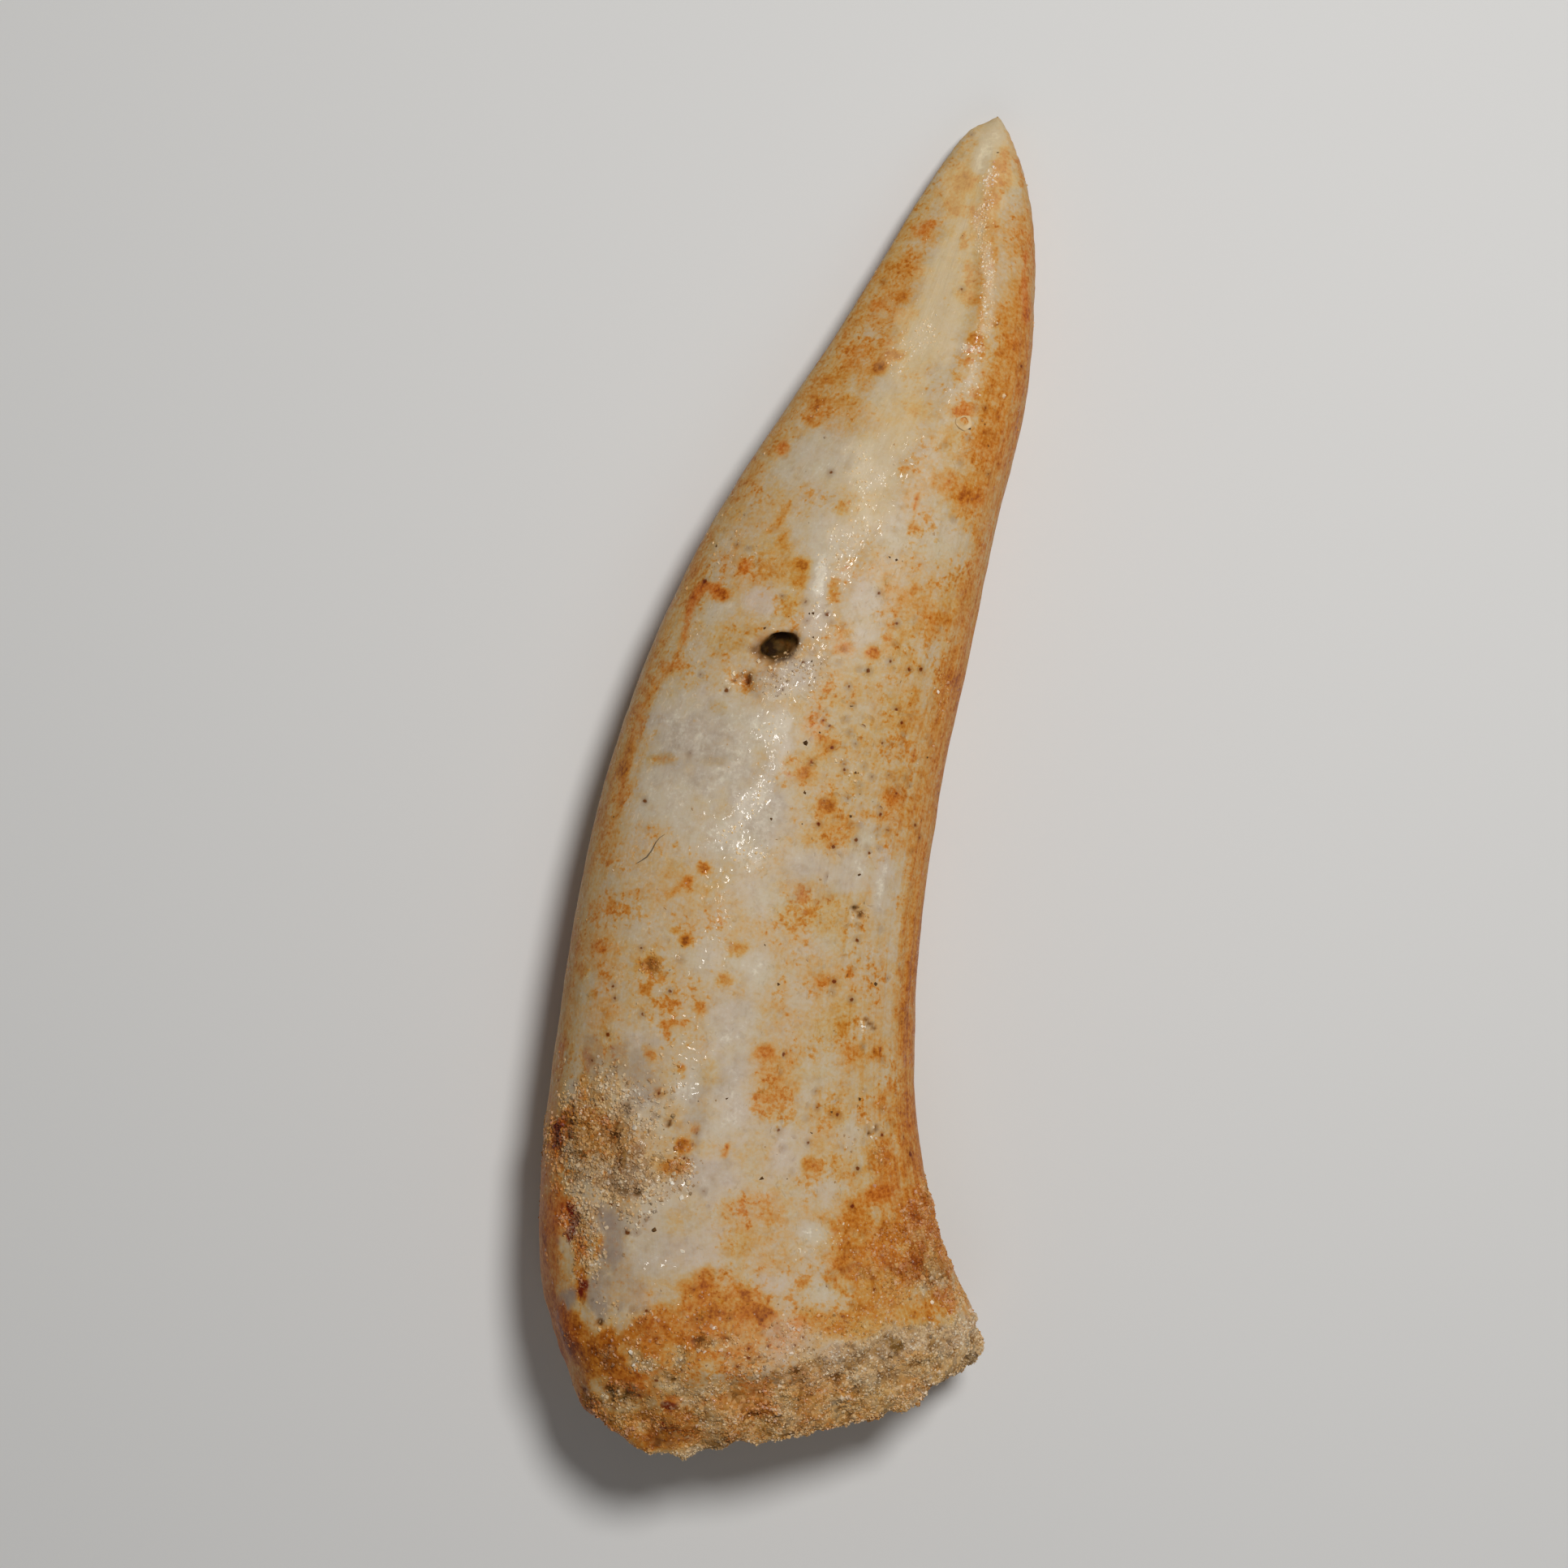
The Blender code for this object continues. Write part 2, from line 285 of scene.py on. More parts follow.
def trail_weight(trail, half_width, rag=1.0):
    """1 along a line through the named places and 0 beside it."""
    corners = np.array(trail, float)
    steps = np.linspace(0, len(corners) - 1, STEPS_PER_CORNER * len(corners))
    columns = np.interp(steps, range(len(corners)), corners[:, 0])
    rows = np.interp(steps, range(len(corners)), corners[:, 1])
    heights = np.interp(steps, range(len(corners)), [height_under(*corner) for corner in corners])
    nearest = np.full(len(points), np.inf)
    for at_column, at_row, height in zip(columns, rows, heights):
        flat = ((column - at_column) ** 2 + (row - at_row) ** 2) / PIXELS_PER_MM**2
        nearest = np.minimum(nearest, flat + ((points[:, 2] - height) / DEPTH_REACH) ** 2)
    return smooth_step(*TRAIL_EDGE, np.sqrt(nearest) / half_width + rag * ragged)


def brush(field, weight, amount):
    """Pulls a field towards an amount, where the weight is high."""
    field += (amount - field) * weight


def brush_spots(field, spots, rag=1.0):
    """Brushes a field at each spot: column, row, half width, half length and amount."""
    for *spot, amount in spots:
        brush(field, spot_weight(*spot, rag), amount)


def raise_spots(field, spots, rag=1.0):
    """Raises a field to each spot's amount. Where spots overlap, the highest stays."""
    for *spot, amount in spots:
        field = np.maximum(field, amount * spot_weight(*spot, rag))
    return field


# %% [markdown]
# ## Iron stains
#
# Iron gets in where the enamel is thin or cracked. The margins are stained most, the middle of the face
# least, and the margins are also painted darker as shade where the edges turn away from the light. The
# pale windows go on first, then the broad clouds, then the small strong spots over them, as a painter
# would work.

# %% Pale windows
iron = 0.40 + 0.05 * cloud(points, 3.0, 3, seed=4)
redness = 0.25 + 0.12 * cloud(points, 4.0, 2, seed=5)

# column and row in the photo, half width and half length in mm, amount of iron, redness
PALE_WINDOWS = (
    (1213, 192, 0.4, 1.0, 0.17, 0.0), (1168, 335, 0.95, 2.0, 0.22, 0.2),
    (1157, 400, 0.95, 1.6, 0.22, 0.2), (1192, 290, 0.5, 0.9, 0.2, 0.3), (1100, 478, 0.9, 0.7, 0.24, 0.2),
    (1150, 470, 0.9, 0.8, 0.28, 0.1), (1018, 556, 1.6, 1.0, 0.2, 0.1), (1078, 575, 1.4, 1.2, 0.18, 0.2),
    (967, 583, 0.6, 0.6, 0.2, 0.2), (1013, 657, 1.1, 1.0, 0.18, 0.2), (1090, 640, 1.1, 1.4, 0.24, 0.2),
    (1165, 660, 1.3, 1.3, 0.3, 0.1), (1064, 740, 0.65, 0.9, 0.18, 0.3), (1069, 785, 0.6, 0.8, 0.2, 0.3),
    (1006, 722, 0.4, 1.0, 0.1, 0.2), (937, 740, 0.7, 0.55, 0.22, 0.6), (886, 758, 0.7, 0.6, 0.18, 0.2),
    (1140, 800, 0.6, 0.5, 0.26, 0.3), (842, 886, 1.7, 1.5, 0.13, 0.3), (900, 880, 1.3, 1.1, 0.16, 0.2),
    (836, 968, 2.0, 1.7, 0.14, 0.2), (905, 940, 1.5, 1.6, 0.1, 0.2), (934, 990, 1.2, 1.6, 0.1, 0.3),
    (962, 905, 0.5, 1.2, 0.14, 0.3), (890, 1030, 1.7, 1.0, 0.16, 0.2), (1000, 1065, 1.1, 0.6, 0.18, 0.3),
    (1052, 1075, 0.9, 0.9, 0.16, 0.3), (1086, 1090, 0.65, 1.5, 0.12, 0.3),
    (1067, 1030, 0.4, 0.7, 0.2, 0.1), (930, 1105, 1.0, 1.1, 0.2, 0.2), (935, 1190, 0.9, 1.0, 0.16, 0.2),
    (866, 1175, 0.7, 0.9, 0.2, 0.2), (905, 1262, 1.0, 1.3, 0.15, 0.3), (985, 1215, 0.6, 0.9, 0.26, 0.3),
    (1000, 1345, 0.6, 0.6, 0.27, 0.2), (903, 1345, 0.85, 1.6, 0.12, 0.4),
    (846, 1346, 0.65, 0.9, 0.1, 0.2), (890, 1390, 0.9, 0.8, 0.16, 0.3), (786, 1284, 1.0, 0.9, 0.25, 0.3),
    (790, 1370, 0.9, 1.2, 0.24, 0.2), (1112, 1340, 0.4, 1.1, 0.24, 0.2),
    (1048, 1392, 0.35, 0.9, 0.22, 0.2), (965, 1420, 1.0, 1.1, 0.21, 0.5),
    (876, 1450, 1.4, 1.0, 0.17, 0.5), (824, 1472, 0.9, 0.7, 0.2, 0.2), (1018, 1468, 0.55, 0.7, 0.2, 0.4),
    (1072, 1500, 0.7, 0.6, 0.24, 0.3), (1003, 1520, 0.6, 0.45, 0.12, 0.2),
    (850, 1540, 1.7, 1.0, 0.22, 0.5), (800, 1520, 0.9, 1.6, 0.22, 0.3), (950, 1578, 0.9, 0.6, 0.2, 0.6),
    (956, 1628, 0.6, 0.8, 0.18, 0.6), (964, 1665, 0.5, 0.4, 0.2, 0.5), (1016, 1592, 0.6, 0.5, 0.25, 0.2),
    (700, 1350, 0.5, 1.3, 0.25, 0.2), (790, 1610, 0.9, 0.6, 0.27, 0.3), (680, 1590, 0.4, 0.6, 0.25, 0.5),
    (1219, 175, 0.6, 0.9, 0.08, 0.0), (1208, 210, 0.42, 1.1, 0.04, 0.0), (1250, 235, 0.4, 0.9, 0.3, 0.0),
    (1190, 240, 0.3, 0.5, 0.28, 0.0), (1170, 320, 0.7, 1.0, 0.3, 0.2), (1150, 380, 1.0, 1.6, 0.24, 0.2),
    (985, 835, 0.7, 0.9, 0.12, 0.5), (1010, 720, 0.3, 1.1, 0.06, 0.3), (1000, 760, 0.6, 0.7, 0.16, 0.5),
)


def paint_spots(spots, strength=1.0, rag=1.0):
    for *spot, amount, red in spots:
        weight = strength * spot_weight(*spot, rag)
        brush(iron, weight, amount)
        brush(redness, weight, red)


paint_spots(PALE_WINDOWS, 0.9)
print("pale windows:", len(PALE_WINDOWS))

# %% Ochre clouds
OCHRE_CLOUDS = (
    (1188, 224, 0.6, 0.8, 0.6, 0.1), (1178, 250, 0.5, 0.6, 0.58, 0.1), (1140, 290, 0.9, 0.9, 0.6, 0.5),
    (1119, 322, 0.95, 1.0, 0.58, 0.3), (1104, 355, 1.1, 1.1, 0.6, 0.3), (1080, 390, 1.0, 1.2, 0.58, 0.4),
    (1062, 440, 1.3, 1.4, 0.58, 0.3), (1010, 495, 1.6, 1.0, 0.6, 0.3), (1035, 470, 1.0, 0.9, 0.62, 0.2),
    (1216, 250, 0.4, 1.6, 0.6, 0.2), (1212, 330, 0.45, 1.6, 0.56, 0.2), (1197, 362, 0.75, 0.6, 0.6, 0.0),
    (1236, 210, 0.35, 1.0, 0.66, 0.4), (1252, 300, 0.6, 1.8, 0.52, 0.3), (1250, 390, 0.8, 2.2, 0.62, 0.3),
    (1238, 470, 1.2, 1.5, 0.64, 0.3), (1222, 550, 1.1, 1.6, 0.66, 0.3), (1195, 610, 0.9, 1.0, 0.66, 0.3),
    (1168, 592, 0.7, 0.4, 0.62, 0.3), (1166, 540, 0.6, 0.5, 0.48, 0.0), (1128, 503, 0.8, 0.5, 0.52, 0.0),
    (930, 640, 1.3, 1.6, 0.48, 0.3), (948, 690, 1.2, 0.9, 0.56, 0.1), (905, 700, 0.8, 0.9, 0.52, 0.5),
    (900, 782, 1.0, 0.8, 0.54, 0.0), (985, 705, 0.5, 0.7, 0.66, 0.0), (975, 750, 0.5, 0.6, 0.54, 0.0),
    (1130, 735, 1.2, 0.7, 0.6, 0.4), (1160, 768, 1.3, 0.8, 0.62, 0.3), (1110, 770, 0.8, 0.8, 0.5, 0.2),
    (1100, 812, 1.3, 0.8, 0.5, 0.1), (1036, 788, 0.55, 0.7, 0.56, 0.4), (1045, 850, 1.8, 0.9, 0.48, 0.1),
    (1110, 880, 1.5, 1.5, 0.52, 0.2), (1000, 886, 0.5, 1.0, 0.5, 0.6), (1023, 922, 0.7, 0.6, 0.64, 0.1),
    (990, 950, 0.6, 0.6, 0.62, 0.2), (1016, 998, 0.8, 0.6, 0.66, 0.1), (1020, 1025, 1.1, 0.7, 0.58, 0.2),
    (1050, 940, 1.1, 1.1, 0.47, 0.1), (1105, 985, 1.1, 1.5, 0.56, 0.4), (1118, 1035, 0.9, 1.0, 0.56, 0.4),
    (815, 936, 0.7, 0.22, 0.54, 0.0), (882, 938, 0.5, 0.2, 0.42, 0.0), (885, 870, 0.4, 0.3, 0.4, 0.0),
    (760, 1060, 0.8, 1.0, 0.5, 0.3), (750, 1110, 1.0, 0.9, 0.54, 0.4), (820, 1090, 1.0, 0.7, 0.46, 0.3),
    (865, 1085, 0.9, 0.6, 0.42, 0.2), (740, 1180, 1.2, 1.2, 0.5, 0.4), (800, 1185, 0.8, 0.7, 0.52, 0.1),
    (730, 1240, 1.0, 1.2, 0.52, 0.5), (800, 1230, 0.9, 0.9, 0.46, 0.3), (1005, 1130, 1.6, 0.8, 0.5, 0.0),
    (1010, 1200, 1.2, 0.8, 0.52, 0.4), (1085, 1190, 0.8, 0.6, 0.46, 0.3),
    (1040, 1260, 1.0, 1.0, 0.52, 0.1), (1065, 1300, 1.3, 0.6, 0.56, 0.3),
    (960, 1305, 1.1, 0.6, 0.56, 0.3), (955, 1350, 1.0, 0.9, 0.54, 0.3), (1030, 1365, 1.1, 0.8, 0.5, 0.2),
    (875, 1322, 0.5, 0.5, 0.44, 0.0), (1085, 1365, 0.6, 0.6, 0.54, 0.5), (1000, 1440, 0.6, 0.6, 0.6, 0.2),
    (1045, 1445, 0.8, 0.7, 0.56, 0.2), (1090, 1425, 1.0, 0.8, 0.62, 0.3), (930, 1495, 1.3, 0.8, 0.5, 0.5),
    (905, 1535, 0.7, 0.5, 0.5, 0.1), (1050, 1485, 0.9, 0.8, 0.62, 0.3), (960, 1555, 1.6, 0.6, 0.46, 0.3),
    (1060, 1560, 1.3, 0.8, 0.62, 0.2), (1110, 1500, 1.2, 1.3, 0.64, 0.5),
    (1040, 1632, 1.6, 0.8, 0.62, 0.2), (1110, 1610, 1.6, 1.0, 0.6, 0.1), (1165, 1622, 1.1, 0.8, 0.5, 0.0),
    (866, 1595, 1.2, 0.8, 0.62, 0.3), (830, 1622, 1.6, 0.8, 0.64, 0.3), (915, 1640, 1.4, 1.2, 0.68, 0.3),
    (790, 1600, 0.7, 0.5, 0.48, 0.6), (690, 1560, 0.6, 1.2, 0.66, 0.6), (700, 1640, 1.0, 1.2, 0.84, 0.5),
    (740, 1680, 1.5, 1.2, 0.84, 0.3), (830, 1670, 2.4, 1.2, 0.66, 0.4), (775, 1655, 1.2, 0.8, 0.72, 0.3),
    (895, 1620, 1.8, 1.6, 0.72, 0.3), (850, 1640, 1.6, 1.2, 0.72, 0.4), (915, 1680, 1.3, 1.6, 0.56, 0.7),
    (1050, 1560, 1.5, 1.0, 0.7, 0.3), (1085, 1600, 1.6, 1.2, 0.66, 0.1),
    (1030, 1645, 1.5, 0.8, 0.66, 0.2), (1150, 1605, 0.9, 0.7, 0.64, 0.2),
    (1100, 1450, 0.9, 1.3, 0.68, 0.4), (1108, 1380, 0.6, 1.2, 0.66, 0.2),
    (1000, 1725, 1.1, 0.6, 0.66, 0.5), (900, 1735, 1.5, 1.0, 0.62, 0.5), (800, 1710, 1.0, 0.8, 0.72, 0.5),
    (855, 1745, 0.9, 0.5, 0.7, 0.4), (730, 1745, 1.2, 0.8, 0.66, 0.2), (1090, 1720, 1.6, 0.7, 0.46, 0.1),
    (1160, 1680, 1.2, 1.0, 0.4, 0.1), (770, 1775, 1.6, 0.6, 0.66, 0.1), (950, 1765, 2.0, 0.7, 0.54, 0.1),
    (680, 1520, 0.8, 1.6, 0.68, 0.6), (725, 1375, 0.9, 1.0, 0.68, 0.1), (750, 1405, 1.4, 1.0, 0.58, 0.2),
    (1065, 1525, 1.6, 1.4, 0.7, 0.3), (1110, 1560, 1.0, 1.4, 0.7, 0.3), (1000, 1660, 1.6, 0.6, 0.38, 0.5),
    (1080, 1640, 1.8, 0.6, 0.6, 0.1), (960, 1690, 1.2, 0.6, 0.42, 0.7), (1150, 1635, 0.9, 0.5, 0.58, 0.1),
    (1180, 740, 0.9, 1.2, 0.54, 0.2), (1090, 920, 1.6, 1.6, 0.48, 0.1), (1130, 950, 0.9, 3.0, 0.55, 0.2),
    (1000, 1755, 1.2, 0.5, 0.58, 0.6), (1060, 1740, 1.2, 0.5, 0.54, 0.3),
    (1120, 1710, 0.9, 0.5, 0.52, 0.5), (930, 1730, 0.9, 0.6, 0.68, 0.7), (685, 1500, 0.5, 2.0, 0.72, 0.6),
    (684, 1625, 0.5, 1.2, 0.74, 0.3), (735, 1740, 1.2, 1.3, 0.78, 0.2), (830, 1772, 1.8, 0.5, 0.82, 0.1),
    (745, 1300, 1.0, 1.2, 0.5, 0.2), (1000, 1700, 1.4, 0.4, 0.5, 0.9), (958, 1652, 1.0, 0.7, 0.44, 1.0),
)

paint_spots(OCHRE_CLOUDS, 0.85)
print("ochre clouds:", len(OCHRE_CLOUDS))

# %% Stained margins, with painted shade
# row in the photo, width of the margin in mm, and the iron in it
HOLLOW_MARGIN = (
    (120, 0.2, 0.5), (300, 0.7, 0.6), (420, 1.2, 0.66), (560, 1.5, 0.66), (660, 0.9, 0.6),
    (760, 0.9, 0.64), (860, 1.1, 0.7), (960, 1.1, 0.66), (1080, 0.9, 0.68), (1200, 0.9, 0.76),
    (1320, 0.8, 0.72), (1400, 0.9, 0.74), (1500, 1.4, 0.72), (1600, 0.6, 0.6), (1700, 0.3, 0.6),
)
HOLLOW_REDNESS = 0.35
# row in the photo, iron and redness
BOWED_MARGIN = ((200, 0.48, 0.0), (330, 0.58, 0.0), (1300, 0.62, 0.0), (1480, 0.76, 0.45))
BOWED_EDGE = (1.15, 0.25)

# painted shade: the margins get more iron, partly real stain and partly shade painted where the edges turn
# away from the light
rows_down, widths_down, iron_down = np.array(HOLLOW_MARGIN).T
margin_width = np.interp(row, rows_down, widths_down)
hollow_stain_and_shade = smooth_step(1.2, 0.5, hollow_gap / margin_width + 0.3 * ragged) * (1 - root_zone)
brush(iron, 0.9 * hollow_stain_and_shade, np.interp(row, rows_down, iron_down))
brush(redness, 0.6 * hollow_stain_and_shade, HOLLOW_REDNESS)

rows_down, iron_down, redness_down = np.array(BOWED_MARGIN).T
bowed_stain_and_shade = smooth_step(*BOWED_EDGE, bowed_gap + 0.12 * ragged)
brush(iron, 0.85 * bowed_stain_and_shade, np.interp(row, rows_down, iron_down))
brush(redness, 0.8 * bowed_stain_and_shade, np.interp(row, rows_down, redness_down))
print("points on the margins:", int(((hollow_stain_and_shade > 0.5) | (bowed_stain_and_shade > 0.5)).sum()))

# %% Veins
# a line through the photo, half its width in mm, iron, redness
VEINS = (
    (((890, 731), (868, 722), (855, 737), (847, 760), (843, 790)), 0.22, 0.78, 0.8),
    (((840, 795), (812, 840), (795, 868), (781, 915), (770, 945), (765, 985)), 0.30, 0.66, 0.4),
    (((774, 925), (766, 950)), 0.30, 0.78, 0.1),
    (((762, 990), (757, 1030), (752, 1060)), 0.25, 0.62, 0.3),
    (((722, 1300), (719, 1325), (716, 1345)), 0.22, 0.64, 0.3),
    (((1263, 315), (1262, 350), (1264, 395)), 0.16, 0.74, 0.9),
    (((1101, 1310), (1095, 1345), (1083, 1362)), 0.13, 0.66, 0.4),
    (((794, 1290), (800, 1300), (812, 1305)), 0.20, 0.66, 0.3),
    (((1130, 612), (1128, 628)), 0.11, 0.76, 0.8),
    (((970, 622), (962, 640), (947, 655)), 0.18, 0.66, 0.3),
    (((850, 1083), (838, 1092), (824, 1102)), 0.16, 0.68, 0.4),
    (((897, 1410), (892, 1424)), 0.13, 0.76, 0.5),
    (((989, 1092), (989, 1108)), 0.14, 0.70, 0.3),
)

for trail, half, amount, red in VEINS:
    weight = 0.75 * trail_weight(trail, half)
    brush(iron, weight, amount)
    brush(redness, weight, red)
print("veins:", len(VEINS))

# %% Small strong spots
RUST_SPOTS = (
    (1239, 188, 0.28, 0.32, 0.7, 0.4), (1236, 204, 0.22, 0.3, 0.66, 0.5),
    (1187, 222, 0.35, 0.35, 0.72, 0.1), (1146, 279, 0.4, 0.3, 0.8, 0.8),
    (1136, 285, 0.4, 0.35, 0.74, 0.8), (1080, 376, 0.3, 0.22, 0.74, 0.6),
    (1111, 366, 0.35, 0.25, 0.72, 0.3), (1083, 454, 0.35, 0.28, 0.82, 0.2),
    (1105, 438, 0.35, 0.22, 0.74, 0.3), (1024, 468, 0.35, 0.3, 0.74, 0.2),
    (1000, 493, 0.3, 0.3, 0.76, 0.2), (998, 520, 0.3, 0.25, 0.72, 0.4), (966, 552, 0.28, 0.4, 0.7, 0.8),
    (1201, 418, 0.4, 0.4, 0.7, 0.1), (1178, 463, 0.32, 0.3, 0.68, 0.1), (1206, 485, 0.35, 0.3, 0.72, 0.2),
    (1190, 508, 0.45, 0.3, 0.74, 0.7), (1217, 546, 0.5, 0.6, 0.72, 0.3),
    (1127, 505, 0.3, 0.22, 0.64, 0.0), (1036, 625, 0.3, 0.35, 0.62, 0.0),
    (1056, 628, 0.18, 0.18, 0.62, 0.1), (1114, 579, 0.3, 0.3, 0.66, 0.4),
    (1126, 651, 0.28, 0.34, 0.66, 0.2), (1193, 612, 0.45, 0.35, 0.8, 0.4),
    (965, 665, 0.28, 0.28, 0.74, 0.1), (988, 697, 0.24, 0.22, 0.86, 0.1),
    (987, 716, 0.26, 0.34, 0.72, 0.0), (1028, 728, 0.28, 0.5, 0.72, 0.0), (917, 697, 0.35, 0.4, 0.7, 0.7),
    (947, 703, 0.35, 0.3, 0.66, 0.1), (874, 723, 0.5, 0.3, 0.72, 0.8), (888, 733, 0.4, 0.26, 0.72, 0.7),
    (973, 752, 0.2, 0.28, 0.72, 0.1), (1036, 776, 0.3, 0.35, 0.62, 0.2),
    (1036, 799, 0.34, 0.26, 0.7, 0.7), (1092, 786, 0.28, 0.24, 0.7, 0.3),
    (1077, 804, 0.26, 0.22, 0.7, 0.5), (1134, 726, 0.5, 0.3, 0.68, 0.4), (1164, 766, 0.6, 0.35, 0.7, 0.3),
    (1184, 812, 0.34, 0.5, 0.78, 0.3), (1181, 836, 0.4, 0.5, 0.84, 0.3), (833, 818, 0.5, 0.3, 0.66, 0.6),
    (767, 945, 0.4, 0.4, 0.74, 0.0), (815, 935, 0.5, 0.14, 0.62, 0.0), (1012, 994, 0.45, 0.3, 0.78, 0.2),
    (1023, 920, 0.25, 0.22, 0.7, 0.1), (990, 953, 0.28, 0.24, 0.74, 0.2),
    (1098, 984, 0.5, 0.4, 0.68, 0.5), (1066, 1003, 0.3, 0.22, 0.74, 0.2),
    (1115, 1012, 0.4, 0.4, 0.68, 0.4), (867, 1069, 0.22, 0.22, 0.76, 0.2),
    (846, 1088, 0.18, 0.2, 0.7, 0.4), (754, 1112, 0.35, 0.45, 0.72, 0.3),
    (726, 1118, 0.28, 0.3, 0.7, 0.4), (781, 1101, 0.35, 0.2, 0.66, 0.4),
    (847, 1159, 0.38, 0.38, 1.0, 0.1), (832, 1147, 0.22, 0.2, 0.74, 0.1),
    (911, 1168, 0.4, 0.28, 0.66, 0.0), (898, 1209, 0.6, 0.26, 0.76, 0.0),
    (803, 1187, 0.38, 0.32, 0.78, 0.1), (794, 1220, 0.22, 0.28, 0.76, 0.2),
    (720, 1200, 0.38, 0.3, 0.76, 0.3), (726, 1227, 0.38, 0.3, 0.72, 0.1),
    (748, 1165, 0.7, 0.18, 0.62, 0.6), (862, 1243, 0.28, 0.26, 0.66, 0.4),
    (820, 1262, 0.26, 0.28, 0.72, 0.6), (840, 1262, 0.28, 0.2, 0.68, 0.5),
    (822, 1274, 0.22, 0.22, 0.76, 0.6), (700, 1261, 0.24, 0.24, 0.68, 0.1),
    (691, 1291, 0.2, 0.24, 0.74, 0.4), (803, 1300, 0.4, 0.3, 0.7, 0.2), (942, 1296, 0.45, 0.28, 0.7, 0.4),
    (1019, 1208, 0.35, 0.3, 0.68, 0.5), (1045, 1199, 0.18, 0.18, 0.78, 0.3),
    (1038, 1264, 0.26, 0.4, 0.68, 0.1), (1078, 1298, 0.34, 0.2, 0.72, 0.2),
    (1054, 1298, 0.4, 0.25, 0.68, 0.4), (947, 1352, 0.5, 0.5, 0.6, 0.3),
    (839, 1317, 0.24, 0.22, 0.76, 0.4), (842, 1328, 0.2, 0.2, 0.7, 0.2),
    (811, 1347, 0.24, 0.22, 0.76, 0.2), (843, 1412, 0.3, 0.3, 0.86, 0.2),
    (856, 1390, 0.22, 0.22, 0.62, 0.3), (827, 1438, 0.55, 0.35, 0.76, 0.2),
    (998, 1435, 0.4, 0.36, 0.74, 0.2), (1028, 1370, 0.35, 0.26, 0.66, 0.2),
    (1081, 1472, 0.5, 0.45, 0.78, 0.7), (1050, 1493, 0.35, 0.45, 0.74, 0.3),
    (1060, 1478, 0.35, 0.3, 0.72, 0.3), (1112, 1520, 0.55, 0.6, 0.76, 0.4),
    (945, 1503, 0.35, 0.5, 0.66, 0.3), (991, 1579, 0.32, 0.28, 0.8, 0.2),
    (919, 1594, 0.28, 0.45, 0.8, 0.3), (869, 1584, 0.5, 0.28, 0.74, 0.4),
    (938, 1620, 0.35, 0.5, 0.8, 0.3), (870, 1622, 0.6, 0.3, 0.8, 0.2), (1075, 1565, 0.7, 0.35, 0.74, 0.2),
    (1036, 1634, 0.6, 0.35, 0.7, 0.2), (706, 1630, 0.6, 0.6, 0.82, 0.3), (722, 1672, 0.8, 0.6, 0.82, 0.2),
    (785, 1705, 0.4, 0.3, 0.78, 0.7), (673, 1478, 0.3, 0.6, 0.68, 0.5), (851, 1745, 0.4, 0.3, 0.76, 0.3),
    (903, 1718, 0.6, 0.35, 0.66, 0.4), (1016, 1718, 0.6, 0.35, 0.6, 0.3),
    (1118, 1400, 0.4, 0.9, 0.73, 0.4), (1110, 1440, 0.5, 0.8, 0.72, 0.4),
    (1120, 1475, 0.35, 0.7, 0.74, 0.5), (683, 1500, 0.5, 0.9, 0.72, 0.7),
    (700, 1500, 0.45, 1.0, 0.76, 0.9), (682, 1545, 0.4, 0.9, 0.72, 0.5), (712, 1545, 0.3, 0.7, 0.74, 0.5),
    (717, 1590, 0.22, 0.8, 0.82, 0.4), (694, 1640, 0.6, 0.8, 0.86, 0.5), (690, 1665, 0.5, 0.8, 0.84, 0.5),
    (745, 1650, 0.8, 0.4, 0.84, 0.3), (748, 1675, 0.6, 0.7, 0.86, 0.2), (712, 1700, 0.6, 0.6, 0.74, 0.2),
    (770, 1700, 0.5, 0.6, 0.74, 0.5), (795, 1745, 1.0, 0.3, 0.8, 0.2), (830, 1730, 0.4, 0.35, 0.84, 0.8),
    (700, 1378, 0.4, 0.7, 0.8, 0.2), (688, 1400, 0.3, 0.6, 0.8, 0.6), (1128, 1545, 0.6, 0.4, 0.76, 0.4),
    (1090, 1545, 0.7, 0.5, 0.74, 0.5), (1170, 1605, 0.4, 0.4, 0.74, 0.5),
    (1190, 450, 0.35, 0.6, 0.62, 0.2), (1226, 225, 0.2, 1.3, 0.66, 0.4), (1200, 275, 0.2, 1.6, 0.6, 0.3),
    (1226, 300, 0.18, 1.6, 0.62, 0.3), (1187, 300, 0.14, 0.4, 0.7, 0.2), (1194, 328, 0.3, 0.5, 0.7, 0.4),
    (1199, 370, 0.45, 0.25, 0.68, 0.2), (1203, 420, 0.36, 0.36, 0.7, 0.2),
    (1214, 262, 0.2, 0.9, 0.68, 0.3), (1172, 256, 0.35, 0.3, 0.66, 0.2),
    (1224, 238, 0.24, 0.6, 0.66, 0.3), (1208, 390, 0.14, 0.9, 0.66, 0.4),
    (780, 1670, 0.24, 0.4, 0.36, 0.0), (797, 1684, 0.34, 0.2, 0.38, 0.0),
    (838, 1674, 0.3, 0.4, 0.38, 0.0), (820, 1706, 0.6, 0.34, 0.36, 0.0),
    (752, 1721, 0.7, 0.28, 0.38, 0.0), (890, 1756, 0.6, 0.26, 0.4, 0.1),
    (1075, 1700, 0.8, 0.3, 0.34, 0.1), (1128, 1668, 0.5, 0.22, 0.6, 0.5),
    (1010, 1712, 0.7, 0.24, 0.62, 0.7), (1050, 1722, 0.5, 0.3, 0.6, 0.2),
    (1168, 1660, 0.36, 0.24, 0.56, 0.3), (935, 1712, 0.6, 0.5, 0.62, 0.8),
)

paint_spots(RUST_SPOTS, 0.85, rag=1.1)
print("rust spots:", len(RUST_SPOTS))

